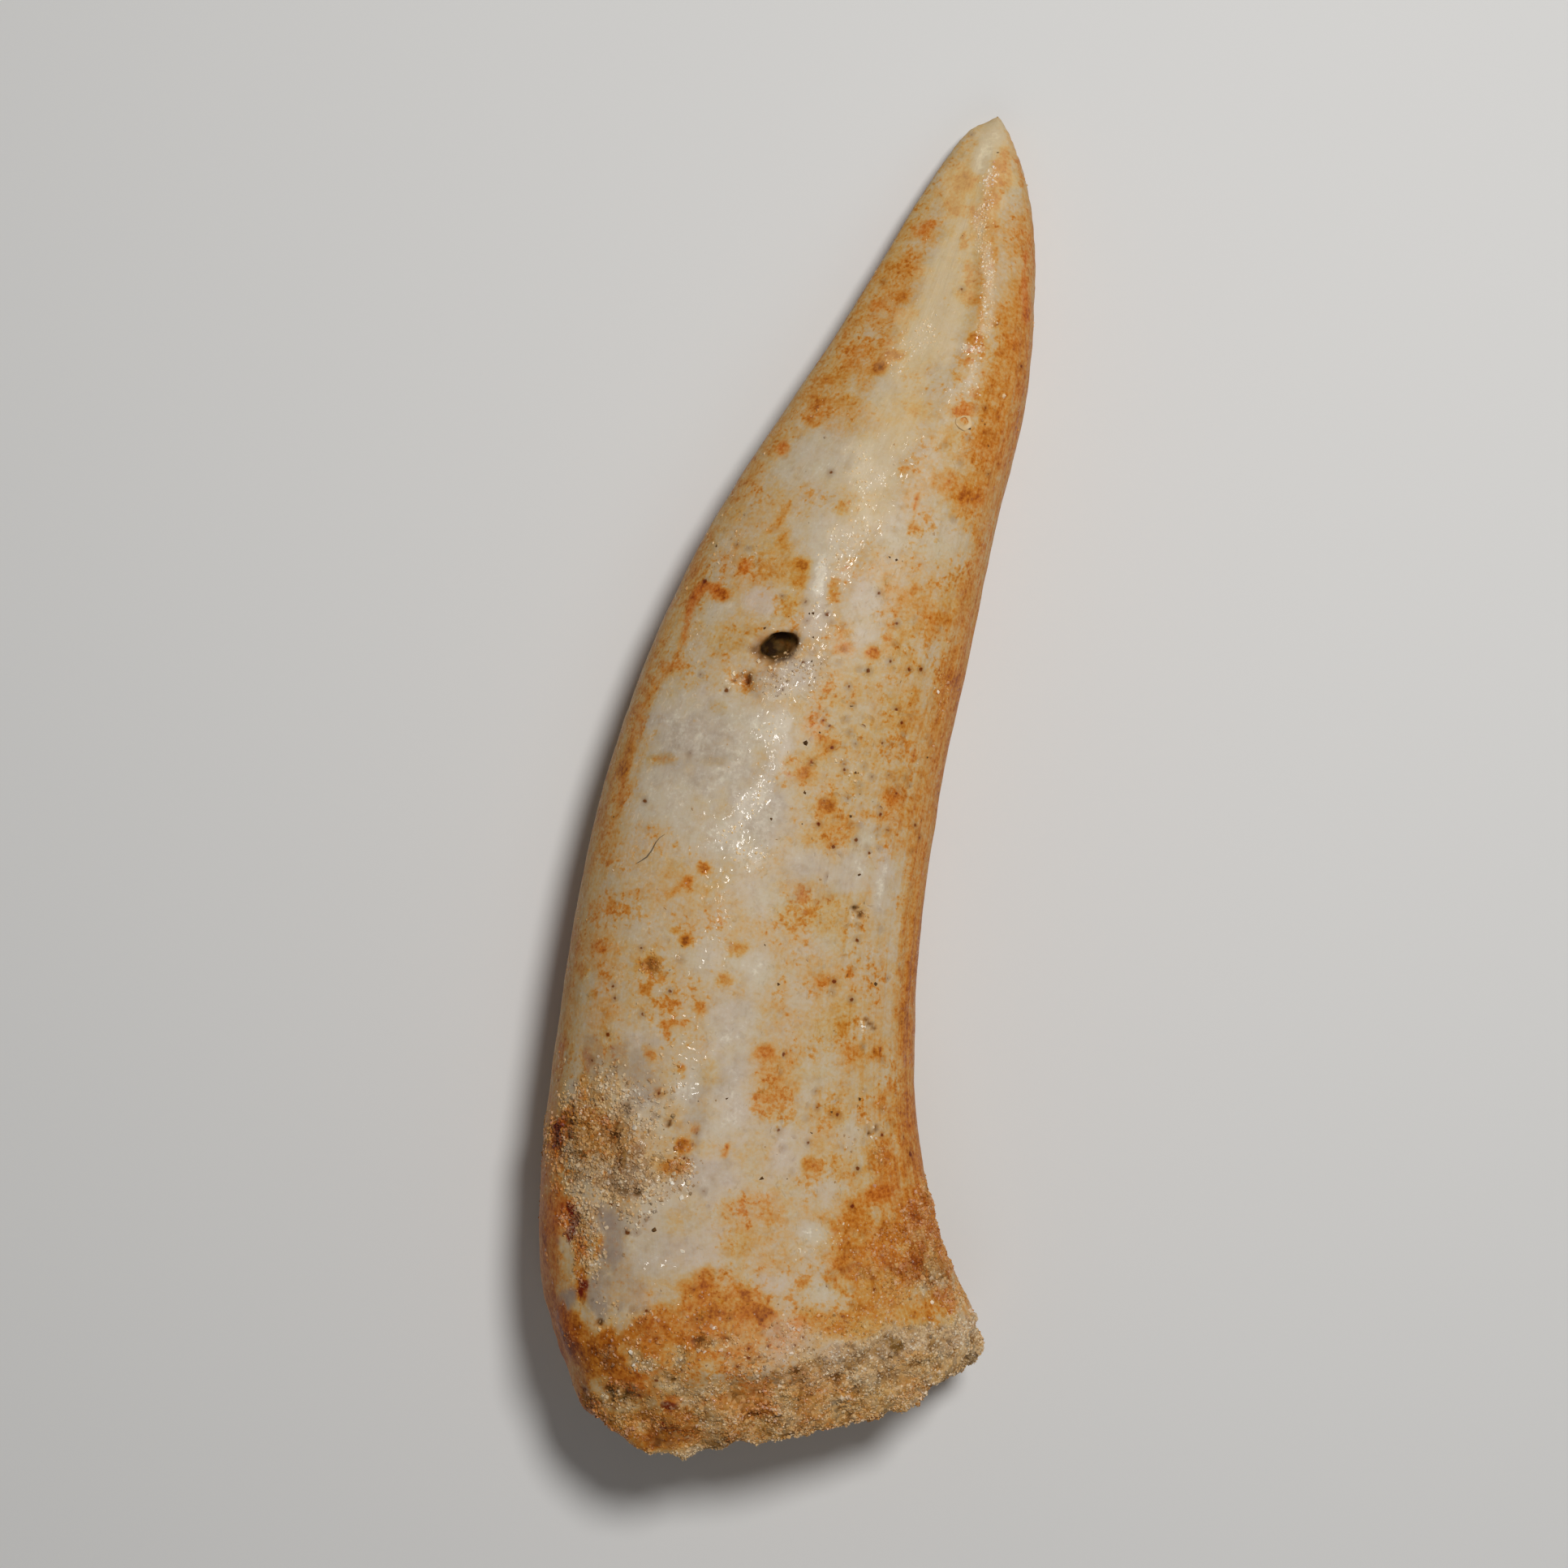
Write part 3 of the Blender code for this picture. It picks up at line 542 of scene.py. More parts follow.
# %% [markdown]
# ## Other colours
#
# More fields are painted the same way. Oxblood is for the few deep red seams, where iron is thickest,
# and slate for the greyish windows, where the enameloid let no iron in. They are fields of their own,
# because no amount of iron gives these two colours.

# %% Red seams, grey windows
oxblood = np.zeros(len(points))
slate = np.zeros(len(points))

# a line through the photo, half its width in mm, amount
RED_SEAMS = (
    (((703, 1488), (708, 1500), (706, 1512), (700, 1526)), 0.26, 0.88),
    (((694, 1540), (688, 1556)), 0.22, 0.45), (((718, 1578), (719, 1592), (716, 1606)), 0.24, 0.55),
    (((820, 1731), (832, 1733)), 0.17, 1.0), (((812, 1757), (818, 1760)), 0.13, 0.9),
    (((689, 1393), (685, 1406)), 0.26, 0.6), (((1040, 1622), (1042, 1628)), 0.14, 0.5),
)
# column and row in the photo, half width and half length in mm, amount
GREY_WINDOWS = (
    (747, 1500, 0.6, 0.9, 0.8), (756, 1538, 0.65, 1.2, 0.8), (738, 1600, 0.6, 0.9, 0.8),
    (698, 1604, 0.5, 0.6, 0.9), (778, 1590, 1.0, 1.2, 0.45), (905, 1330, 0.8, 1.2, 0.35),
    (690, 1530, 0.3, 0.5, 0.5), (870, 1450, 1.6, 1.0, 0.35), (930, 990, 1.6, 2.6, 0.34),
    (860, 920, 1.9, 2.2, 0.46), (990, 830, 0.9, 0.9, 0.45), (1000, 1080, 1.6, 1.0, 0.3),
    (860, 1360, 0.9, 1.4, 0.45), (780, 1430, 1.0, 1.2, 0.4), (900, 1240, 1.0, 1.4, 0.25),
    (860, 1180, 0.9, 1.0, 0.2), (820, 1530, 1.4, 1.2, 0.3), (950, 1640, 0.6, 0.8, 0.3),
    (785, 1320, 1.2, 1.7, 0.6), (945, 835, 0.9, 0.6, 0.4), (730, 1300, 0.6, 1.2, 0.5),
    (775, 1455, 1.1, 0.8, 0.5),
)

for trail, half, amount in RED_SEAMS:
    brush(oxblood, trail_weight(trail, half, 0.9), amount)
brush_spots(slate, GREY_WINDOWS)
print("red seams:", len(RED_SEAMS), "grey windows:", len(GREY_WINDOWS))

# %% [markdown]
# ## Pits
#
# Something ate into the fang at a few places, and dark dirt stayed in the holes. The solid has the two
# wide hollows. Here they get their ragged floor, with the small holes around them: soot_and_shade says
# how dark a point is, and dent how deep it goes. The darkness in the holes is partly dirt and partly
# painted shade, darkest on the upper side of the large pit. A faint halo of dirt lies around the large
# pit.

# %% The pits
soot_and_shade = np.zeros(len(points))
dent = np.zeros(len(points))

# column and row in the photo, half width and half length in mm, darkness of dirt and painted shade, depth
# in mm
PITS = (
    (952, 803, 0.9, 0.56, 0.46, 0.03), (955, 803, 0.7, 0.34, 0.6, 0.06),
    (974, 790, 0.4, 0.32, 0.76, 0.18), (962, 795, 0.54, 0.36, 0.82, 0.28),
    (948, 799, 0.38, 0.32, 1.0, 0.18), (962, 786, 0.46, 0.2, 1.06, 0.2), (922, 838, 0.14, 0.3, 0.95, 0.1),
    (912, 836, 0.34, 0.26, 0.35, 0.05), (904, 838, 0.12, 0.14, 0.8, 0.04),
    (929, 799, 0.22, 0.16, 0.45, 0.02), (1079, 1390, 0.14, 0.14, 0.6, 0.04),
    (1071, 1397, 0.12, 0.12, 0.7, 0.04), (1054, 1119, 0.18, 0.16, 0.9, 0.1),
    (1061, 1127, 0.16, 0.15, 0.8, 0.08), (738, 1630, 0.18, 0.15, 0.8, 0.12),
    (803, 1188, 0.26, 0.2, 0.4, 0.05), (785, 1468, 0.2, 0.2, 0.9, 0.1), (824, 1384, 0.15, 0.15, 0.9, 0.1),
    (758, 1403, 0.2, 0.2, 0.7, 0.08),
)

# the same four measures, how ragged the edge is, and the share of full darkness
PIT_HALOS = ((950, 806, 1.7, 1.2, 1.0, 0.12), (944, 803, 0.8, 0.5, 1.2, 0.3))
CHIP_SHADOW = ((1066, 1255), (1077, 1266))

# painted shade: the holes are darkened partly as dirt and partly as the shade inside them, most on their
# upper side
for *spot, dark, depth in PITS:
    weight = spot_weight(*spot, 0.45)
    brush(soot_and_shade, weight, dark)
    dent = np.maximum(dent, depth * weight)
for *spot, rag, share in PIT_HALOS:
    brush(soot_and_shade, share * spot_weight(*spot, rag), 1.0)
brush(soot_and_shade, trail_weight(CHIP_SHADOW, 0.10, 0.3), 0.6)
print("pits:", len(PITS))

# %% [markdown]
# ## The crumbling ledge
#
# The enameloid ends in a broken ledge across the root, and crumbs of it are gone. Small gaps are set
# along it one by one, each a shallow dent darkened with painted shade. Where the crust starts, painted
# shade lies between the crumbs, in spots that noise breaks up. A painted shadow line marks the break
# itself, over a shallow dent, and beside it the freshly broken bone is pale.

# %% Gaps in the ledge
GAP_SIZE = (0.26, 0.16)
GAP_SHADE = 0.72
GAP_DEPTH = 0.08
LEDGE_GAPS = (
    (978, 1689), (1009, 1674), (1046, 1686), (1069, 1668), (1095, 1652), (1100, 1672), (1127, 1681),
    (1108, 1660), (1179, 1674), (1030, 1700), (1085, 1695), (1150, 1660), (860, 1650), (875, 1655),
    (893, 1650), (825, 1700), (775, 1722), (900, 1720), (930, 1745), (985, 1725), (1060, 1710),
    (720, 1712),
)

# painted shade in the small gaps of the ledge, over a real dent
for place in LEDGE_GAPS:
    weight = spot_weight(*place, *GAP_SIZE, 1.4)
    brush(soot_and_shade, weight, GAP_SHADE)
    dent = np.maximum(dent, GAP_DEPTH * weight)
print("gaps in the ledge:", len(LEDGE_GAPS))

# %% Shade between the crumbs
# column and row in the photo, half width and half length in mm, share of full darkness
CRUST_SHADES = (
    (735, 1405, 1.9, 1.9, 0.44), (712, 1390, 1.1, 1.2, 0.58), (1150, 1540, 0.9, 2.2, 0.34),
    (757, 1722, 1.0, 0.5, 0.74), (722, 1520, 0.6, 1.2, 0.28), (1160, 1580, 0.6, 0.6, 0.36),
    (775, 1440, 1.3, 0.9, 0.14), (828, 1462, 0.6, 0.5, 0.14), (1130, 1680, 2.2, 0.5, 0.1),
    (1010, 1735, 2.0, 0.5, 0.16), (870, 1770, 2.6, 0.4, 0.46), (780, 1640, 1.0, 0.5, 0.16),
    (1128, 1562, 0.9, 0.8, 0.34), (1045, 1566, 1.2, 0.36, 0.22), (780, 1752, 1.8, 0.44, 0.48),
)
gaps_between = 0.45 + 1.15 * smooth_step(-0.2, 0.35, cloud(points, 0.36, 2, seed=17))
for *spot, share in CRUST_SHADES:
    brush(soot_and_shade, share * gaps_between * spot_weight(*spot, 1.3), 1.0)
print("shaded places:", len(CRUST_SHADES))

# %% The broken line
BROKEN_LINE = (
    (950, 1704), (990, 1688), (1020, 1684), (1048, 1679), (1072, 1668), (1098, 1656), (1112, 1662),
)
BROKEN_DEPTH = 0.05
PALE_LINE = ((1030, 1672), (1061, 1670), (1100, 1655), (1150, 1645), (1204, 1636))

# a painted shadow line along the break, over a shallow real dent
broken_line = trail_weight(BROKEN_LINE, 0.22, 1.2)
brush(soot_and_shade, 0.36 * gaps_between * broken_line, 1.0)
dent = np.maximum(dent, BROKEN_DEPTH * broken_line)
pale_ledge = trail_weight(PALE_LINE, 0.55, 1.4)
brush(iron, 0.7 * pale_ledge, 0.16)
brush(slate, pale_ledge, 0.25)
print("points on the pale ledge:", int((pale_ledge > 0.5).sum()))

# %% [markdown]
# ## Wear and sheen, cream and light, specks
#
# Sand has scoured the keel and the crest of the face: the enameloid there is broken into tiny facets,
# along lines that are read off the photo, and it is painted whitish, partly as paler worn enameloid and
# partly as a painted sheen where the crest catches the light. A broad cream band runs down from the tip,
# partly the pale tip itself and partly painted light that is strongest at the tip. Small brown specks lie
# in loose fields over most of the face. Each of the three gets its own field, and the material decides
# later what it looks like.

# %% Worn places and painted sheen
# a line through the photo, half its width in mm, and how thickly the small facets and the painted sheen
# lie there
WORN_LINES = (
    (((1222, 215), (1216, 240), (1209, 270), (1210, 300), (1220, 335)), 0.26, 0.9),
    (((1220, 335), (1218, 365), (1214, 395), (1204, 430), (1190, 428)), 0.24, 0.8),
    (((1104, 455), (1120, 430), (1140, 410)), 0.35, 0.5),
    (((1196, 480), (1200, 450)), 0.30, 0.6),
    (((1062, 575), (1070, 600), (1062, 640), (1043, 665), (1030, 700)), 0.55, 0.8),
    (((1030, 700), (1012, 730), (1000, 790), (990, 835), (975, 870)), 0.50, 0.55),
    (((968, 830), (972, 870), (955, 910), (960, 945)), 0.45, 0.7),
    (((940, 960), (920, 990), (903, 1020), (916, 1045), (930, 1060)), 0.45, 0.9),
    (((892, 1105), (884, 1150), (886, 1185)), 0.40, 0.45), (((855, 1280), (848, 1330)), 0.50, 0.35),
    (((940, 838), (958, 852), (972, 840)), 0.40, 0.6), (((985, 1535), (1035, 1525)), 0.55, 0.5),
)

wear_and_sheen = np.zeros(len(points))
for trail, half, amount in WORN_LINES:
    wear_and_sheen = np.maximum(wear_and_sheen, amount * trail_weight(trail, 1.3 * half, 1.3))
print("worn lines:", len(WORN_LINES))

# %% The cream band near the tip, with painted light
CREAM_LINE = ((1227, 152), (1213, 200), (1186, 290), (1164, 370), (1130, 455), (1085, 560), (1060, 640))

# partly the pale tip and partly painted light: the band lightens the face most near the tip and fades
# further down
cream_and_light = trail_weight(CREAM_LINE, 1.25, 0.9) * np.interp(row, [420, 700], [1.0, 0.4])
print("points in the cream band:", int((cream_and_light > 0.5).sum()))

# %% Speckled fields
# column and row in the photo, half width and half length in mm, share of the specks that show
SPECKLED = (
    (1030, 930, 1.6, 2.6, 0.7), (1060, 1000, 1.8, 2.0, 0.8), (1110, 960, 1.2, 3.0, 0.6),
    (1060, 1130, 1.2, 1.2, 0.2), (1000, 1400, 1.6, 2.0, 0.5), (1070, 1400, 1.4, 1.8, 0.6),
    (1030, 800, 1.6, 1.6, 0.5), (990, 760, 1.2, 0.8, 0.6), (900, 690, 1.4, 1.2, 0.4),
    (820, 1400, 1.6, 2.5, 0.5), (770, 1450, 2.0, 2.0, 0.8), (730, 1380, 1.6, 2.0, 0.9),
    (1210, 540, 1.2, 1.6, 0.4), (1050, 1210, 1.6, 1.0, 0.5), (790, 1190, 2.0, 1.5, 0.4),
    (1080, 1560, 2.0, 1.5, 0.7), (850, 1640, 3.0, 1.5, 0.7), (960, 1660, 2.6, 1.0, 0.6),
    (760, 1230, 1.6, 2.6, 0.3), (1215, 300, 0.5, 3.5, 0.2), (1250, 480, 0.8, 2.0, 0.2),
    (1140, 1590, 1.6, 1.2, 0.8), (930, 840, 1.2, 0.8, 0.6), (1120, 800, 1.6, 1.6, 0.3),
)

speckle = raise_spots(0.02 + 0.3 * root_zone, SPECKLED)
print("speckled fields:", len(SPECKLED))

# %% [markdown]
# ## The sandy crust
#
# Sand is cemented to the root and in patches on both flanks. One field, sand, says where the crust
# covers the fang. A second one, grit, says where loose crumbs lie, and it reaches farther. The crust
# is cracked, so noise cuts crevices into it and paints shade in them.

# %% Crust and grit
# column and row in the photo, half width and half length in mm, amount
CRUST_PATCHES = (
    (708, 1380, 0.95, 0.95, 1.0), (697, 1405, 0.7, 0.8, 1.0), (735, 1398, 1.0, 0.8, 0.8),
    (762, 1412, 0.9, 0.7, 0.6), (745, 1435, 1.0, 0.7, 0.5), (756, 1462, 0.9, 0.6, 0.4),
    (712, 1455, 0.6, 0.6, 0.5), (720, 1500, 0.55, 0.9, 0.75), (720, 1540, 0.5, 0.8, 0.8),
    (1146, 1480, 0.45, 1.2, 0.8), (1152, 1545, 0.8, 1.1, 1.0), (1130, 1560, 0.8, 0.7, 0.8),
    (1170, 1590, 0.7, 0.7, 0.8), (1063, 1568, 0.8, 0.4, 0.6), (803, 1188, 0.4, 0.32, 0.6),
    (827, 1440, 0.5, 0.3, 0.4), (912, 836, 0.42, 0.34, 0.5), (780, 1672, 0.3, 0.5, 0.7),
    (796, 1684, 0.4, 0.26, 0.7), (838, 1676, 0.5, 0.6, 0.7), (757, 1722, 1.0, 0.55, 1.0),
    (880, 1654, 0.8, 0.36, 0.7), (905, 1648, 0.5, 0.3, 0.7), (828, 1705, 0.8, 0.5, 0.8),
    (1080, 1418, 0.2, 0.3, 0.5), (1190, 1640, 0.8, 0.5, 0.9), (750, 1670, 0.8, 0.6, 0.5),
    (1130, 1655, 1.6, 0.4, 0.9), (1040, 1680, 1.8, 0.4, 0.9), (740, 1728, 0.9, 0.6, 0.9),
    (775, 1748, 1.4, 0.5, 0.9), (835, 1762, 1.6, 0.5, 0.95),
)
GRIT_PATCHES = (
    (730, 1400, 2.2, 2.2, 0.55), (775, 1445, 1.8, 1.4, 0.5), (715, 1520, 0.9, 1.6, 0.6),
    (750, 1345, 1.7, 0.9, 0.26), (850, 1650, 4.0, 1.6, 0.22), (740, 1700, 1.4, 1.0, 0.12),
    (830, 1450, 0.8, 0.8, 0.3), (820, 1350, 1.0, 1.2, 0.1), (958, 803, 0.6, 0.3, 0.14),
    (1110, 1560, 2.0, 1.6, 0.45), (1140, 1500, 0.8, 1.6, 0.6), (975, 830, 1.3, 0.9, 0.24),
    (912, 836, 0.6, 0.45, 0.5), (1160, 860, 0.3, 1.2, 0.2), (950, 1680, 3.0, 1.2, 0.5),
    (1050, 1640, 2.4, 1.0, 0.35), (1070, 1410, 1.2, 1.4, 0.05), (815, 1330, 1.2, 1.6, 0.06),
    (1050, 975, 1.2, 1.4, 0.04), (1060, 1125, 0.6, 0.5, 0.16), (1020, 510, 1.0, 0.8, 0.03),
    (900, 680, 1.2, 1.2, 0.05), (860, 770, 0.8, 1.6, 0.04),
)

CREVICE_SIZE = 0.5
CREVICE_SHADE = 0.62
CREVICE_DEPTH = 0.07
LEAST_GRIT = 0.001

sand = root_zone * np.interp(column, [700, 820, 900, 980], [0.25, 0.45, 0.8, 1.0])
sand = np.maximum(raise_spots(sand, CRUST_PATCHES, 1.2), 0.95 * pale_ledge)
crevices = smooth_step(0.18, 0.5, cloud(points, CREVICE_SIZE, 2, seed=16)) * sand
# painted shade in the crevices of the crust, over a real dent
brush(soot_and_shade, 0.8 * crevices, CREVICE_SHADE)
dent = np.maximum(dent, CREVICE_DEPTH * crevices)
grit = raise_spots(np.maximum(0.9 * sand, LEAST_GRIT), GRIT_PATCHES)
print("share of the surface under sand:", round(float((sand > 0.5).mean()), 3))

# %% [markdown]
# ## The hidden side
#
# Nothing in the photo shows the underside. Such fangs are stained alike all round, so noise takes the
# brush's place there: the same iron and the same redness, in clouds of the same size.

# %% Paint the underside
hidden = smooth_step(0.05, -0.4, normals[:, 2])
under_iron = 0.44 + 0.30 * cloud(points, 2.6, 4, seed=6) + 0.16 * cloud(points, 0.9, 2, seed=7)
under_iron += 0.16 * smooth_step(1.6, 0.4, np.minimum(bowed_gap, hollow_gap))
most_iron = 0.9 - 0.3 * root_zone
iron = iron + (np.clip(under_iron, 0.12, most_iron) - iron) * hidden
under_redness = (0.3 + 0.35 * cloud(points, 3.2, 2, seed=8)) * (1 - 0.6 * root_zone)
redness = redness + (under_redness - redness) * hidden
under_sand = smooth_step(0.32, 0.5, cloud(points, 2.4, 3, seed=9)) * smooth_step(4, -12, points[:, 1])
sand = np.maximum(sand, 0.9 * under_sand * hidden)
grit = np.maximum(grit, 0.8 * under_sand * hidden)
print("hidden points:", int((hidden > 0.5).sum()))

# %% [markdown]
# ## Relief
#
# What can be felt with a fingernail is real relief here, and not only a bump in the material: the flutes
# along the hollow margin, the beaded keel below the tip, the lumps and crevices of the crust and the pits.
# Points move along their normals, as in sculpting. The finest growth lines are left to the material.

# %% Unbend the fang
GRAIN_RADIUS = 5.0

middle_x, middle_z, half_width, half_height = section_measures(points)
turn = np.arctan2((points[:, 2] - middle_z) / half_height, (points[:, 0] - middle_x) / half_width)
grain_space = np.column_stack((
    GRAIN_RADIUS * np.cos(turn), GRAIN_RADIUS * np.sin(turn), points[:, 1],
))

# %% Flutes, crust and pits
FLUTE_DEPTH = 0.035
FLUTE_WIDTH = 0.42
FLUTE_STRETCH = 0.06
WAVINESS = 0.02
CRUST_LUMPS = 0.10
CRUST_GRAIN = 0.04
TIP_FADE = (24.6, 23.6)

crown = 1 - smooth_step(0.2, 0.8, sand)
flutes = cloud(grain_space * (1, 1, FLUTE_STRETCH), FLUTE_WIDTH, 2, seed=10)
near_hollow = smooth_step(5.5, 0.5, hollow_gap)
relief = FLUTE_DEPTH * flutes * (0.25 + 0.75 * near_hollow) * crown
relief += WAVINESS * cloud(points, 1.2, 2, seed=11) * crown
relief += sand * CRUST_LUMPS * cloud(points, 0.7, 3, seed=12)
relief += sand * CRUST_GRAIN * cloud(points, 0.26, 2, seed=13)
relief -= dent
relief *= smooth_step(*TIP_FADE, points[:, 1])
print("deepest dent in mm:", round(dent.max(), 3))

# %% The beaded keel
KEEL_LINE = ((1233, 165), (1224, 215), (1218, 270), (1219, 330), (1216, 400), (1206, 455), (1192, 530))
KEEL_HEIGHT = 0.07

keel =trail_weight(KEEL_LINE, 0.45, 0.1) * smooth_step(150, 215, row) * smooth_step(540, 400, row)
relief += KEEL_HEIGHT * keel * (1 + 0.6 * cloud(points, 0.3, 2, seed=15))
print("points on the keel:", int((keel > 0.5).sum()))

# %% Move the points
APEX = (1231, 146)
APEX_RISE = 0.13
APEX_REACH = 0.5
LEAST_HEIGHT = 0.004

# The smoothing shortened the tip a little, so the points nearest to it move back out.
from_apex = np.hypot(column - APEX[0], row - APEX[1]) / PIXELS_PER_MM
points = points + normals * relief[:, None]
points[:, 1] += APEX_RISE * smooth_step(APEX_REACH, 0.0, from_apex)
points[:, 2] = np.maximum(points[:, 2], LEAST_HEIGHT)
write_points(surface.data, points)
print("relief from", round(relief.min(), 3), "to", round(relief.max(), 3), "mm")


# %% Store the fields on the mesh
def store(mesh, name, values):
    """Stores one number or one vector for each point as an attribute that the material reads."""
    kind, slot = ("FLOAT", "value") if values.ndim == 1 else ("FLOAT_VECTOR", "vector")
    attribute = mesh.attributes.new(name, kind, "POINT")
    attribute.data.foreach_set(slot, values.ravel().astype(np.float32))


stains = {"iron": iron, "redness": redness, "oxblood": oxblood, "slate": slate, "soot_and_shade": soot_and_shade}
striae = 0.2 + 0.8 * near_hollow * smooth_step(20, 8, points[:, 1])
fields = {
    **stains, "speckle": speckle, "sand": sand, "wear_and_sheen": wear_and_sheen, "cream_and_light": cream_and_light, "striae": striae,
    "grain_space": grain_space * MM,
}
for name, values in fields.items():
    store(surface.data, name, values)
surface.data.materials.clear()
surface.data.shade_smooth()
print("fields:", ", ".join(fields))


# %% [markdown]
# ## The material of the enamel
#
# Nodes turn the fields into colour. Noise of three sizes and streaks along the grain are added to the
# iron before a colour ramp reads it, so that a stain has the grainy, fibrous edge that it has in life.
# A small helper adds a node and fills its sockets, which keeps the cells short.

# %% Helpers for nodes
def srgb(red, green, blue):
    """A colour as a screen shows it, 0 to 255, turned into the linear values that Blender uses."""
    shares = [value / 255 for value in (red, green, blue)]
    linear = [s / 12.92 if s <= 0.04045 else ((s + 0.055) / 1.055) ** 2.4 for s in shares]
    return (*linear, 1.0)


def add_node(tree, kind, sockets=None, **settings):
    """Adds a node. A socket is given a plain value, or another node's output to link to."""
    made = tree.nodes.new(kind)
    for name, value in settings.items():
        setattr(made, name, value)
    for name, value in (sockets or {}).items():
        if isinstance(value, bpy.types.NodeSocket):
            tree.links.new(value, made.inputs[name])
        else:
            made.inputs[name].default_value = value
    return made


def calculate(tree, operation, first, second=0.0, clamp=False):
    return add_node(
        tree, "ShaderNodeMath", {0: first, 1: second}, operation=operation, use_clamp=clamp
    ).outputs[0]


def times(tree, first, second):
    return calculate(tree, "MULTIPLY", first, second)


def ramp(tree, value, stops, interpolation="LINEAR"):
    """A colour ramp with (position, colour) stops."""
    made = add_node(tree, "ShaderNodeValToRGB", {"Fac": value})
    made.color_ramp.interpolation = interpolation
    elements = made.color_ramp.elements
    while len(elements) < len(stops):
        elements.new(0.5)
    for element, (position, colour) in zip(elements, stops):
        element.position = position
        element.color = colour
    return made.outputs["Color"]


def blend(tree, share, under, over, mode="MIX"):
    made = add_node(
        tree, "ShaderNodeMix", {0: share, 6: under, 7: over}, data_type="RGBA", blend_type=mode
    )
    return made.outputs[2]


def field(tree, name, output="Fac"):
    return add_node(tree, "ShaderNodeAttribute", attribute_name=name).outputs[output]


def object_place(tree):
    return add_node(tree, "ShaderNodeTexCoord").outputs["Object"]


def vector_math(tree, operation, first, second=(0, 0, 0)):
    return add_node(
        tree, "ShaderNodeVectorMath", {0: first, 1: second}, operation=operation
    ).outputs[0]


def new_material(name):
    material = bpy.data.materials.new(name)
    material.use_nodes = True
    tree = material.node_tree
    return material, tree, tree.nodes["Principled BSDF"]


# %% A group for fractal mottling
def make_mottle():
    """Noise of one size in millimetres, centred on 0, in object coordinates."""
    group = bpy.data.node_groups.new("mottle", "ShaderNodeTree")
    for socket, way in (("Size in mm", "INPUT"), ("Strength", "INPUT"), ("Value", "OUTPUT")):
        group.interface.new_socket(socket, in_out=way, socket_type="NodeSocketFloat")
    inputs = add_node(group, "NodeGroupInput").outputs
    texture = add_node(group, "ShaderNodeTexNoise", {
        "Vector": object_place(group), "Scale": calculate(group, "DIVIDE", 1 / MM, inputs["Size in mm"]),
        "Detail": 3.0, "Roughness": 0.55,
    })
    centred = calculate(group, "SUBTRACT", texture.outputs["Fac"], 0.5)
    result = times(group, centred, inputs["Strength"])
    add_node(group, "NodeGroupOutput", {"Value": result})
    return group


mottle_group = make_mottle()


def mottle(tree, size, strength):
    return add_node(
        tree, "ShaderNodeGroup", {"Size in mm": size, "Strength": strength}, node_tree=mottle_group
    ).outputs["Value"]


# %% Growth lines and soft thresholds
def growth_lines(tree, width, length):
    """Lines along the fang, of a width and a length in millimetres, from 0 to 1."""
    space = field(tree, "grain_space", "Vector")
    scales = (1 / (width * MM), 1 / (width * MM), 1 / (length * MM))
    stretched = vector_math(tree, "MULTIPLY", space, scales)
    return add_node(
        tree, "ShaderNodeTexNoise", {"Vector": stretched, "Scale": 1.0, "Detail": 3.0, "Roughness": 0.6}
    ).outputs["Fac"]


def total(tree, *values):
    result = values[0]
    for value in values[1:]:
        result = calculate(tree, "ADD", result, value)
    return result


def window(tree, value, low, high):
    """0 below low, 1 above high, eased between."""
    return add_node(tree, "ShaderNodeMapRange", {
        "Value": value, "From Min": low, "From Max": high,
    }, interpolation_type="SMOOTHSTEP").outputs["Result"]


def cells_with_luck(tree, place, scale):
    """Cells side by side, and for each of them a number and a colour by chance."""
    cells = add_node(tree, "ShaderNodeTexVoronoi", {"Vector": place, "Scale": scale}).outputs
    luck = add_node(tree, "ShaderNodeTexWhiteNoise", {"Vector": cells["Position"]}).outputs
    return cells["Distance"], luck


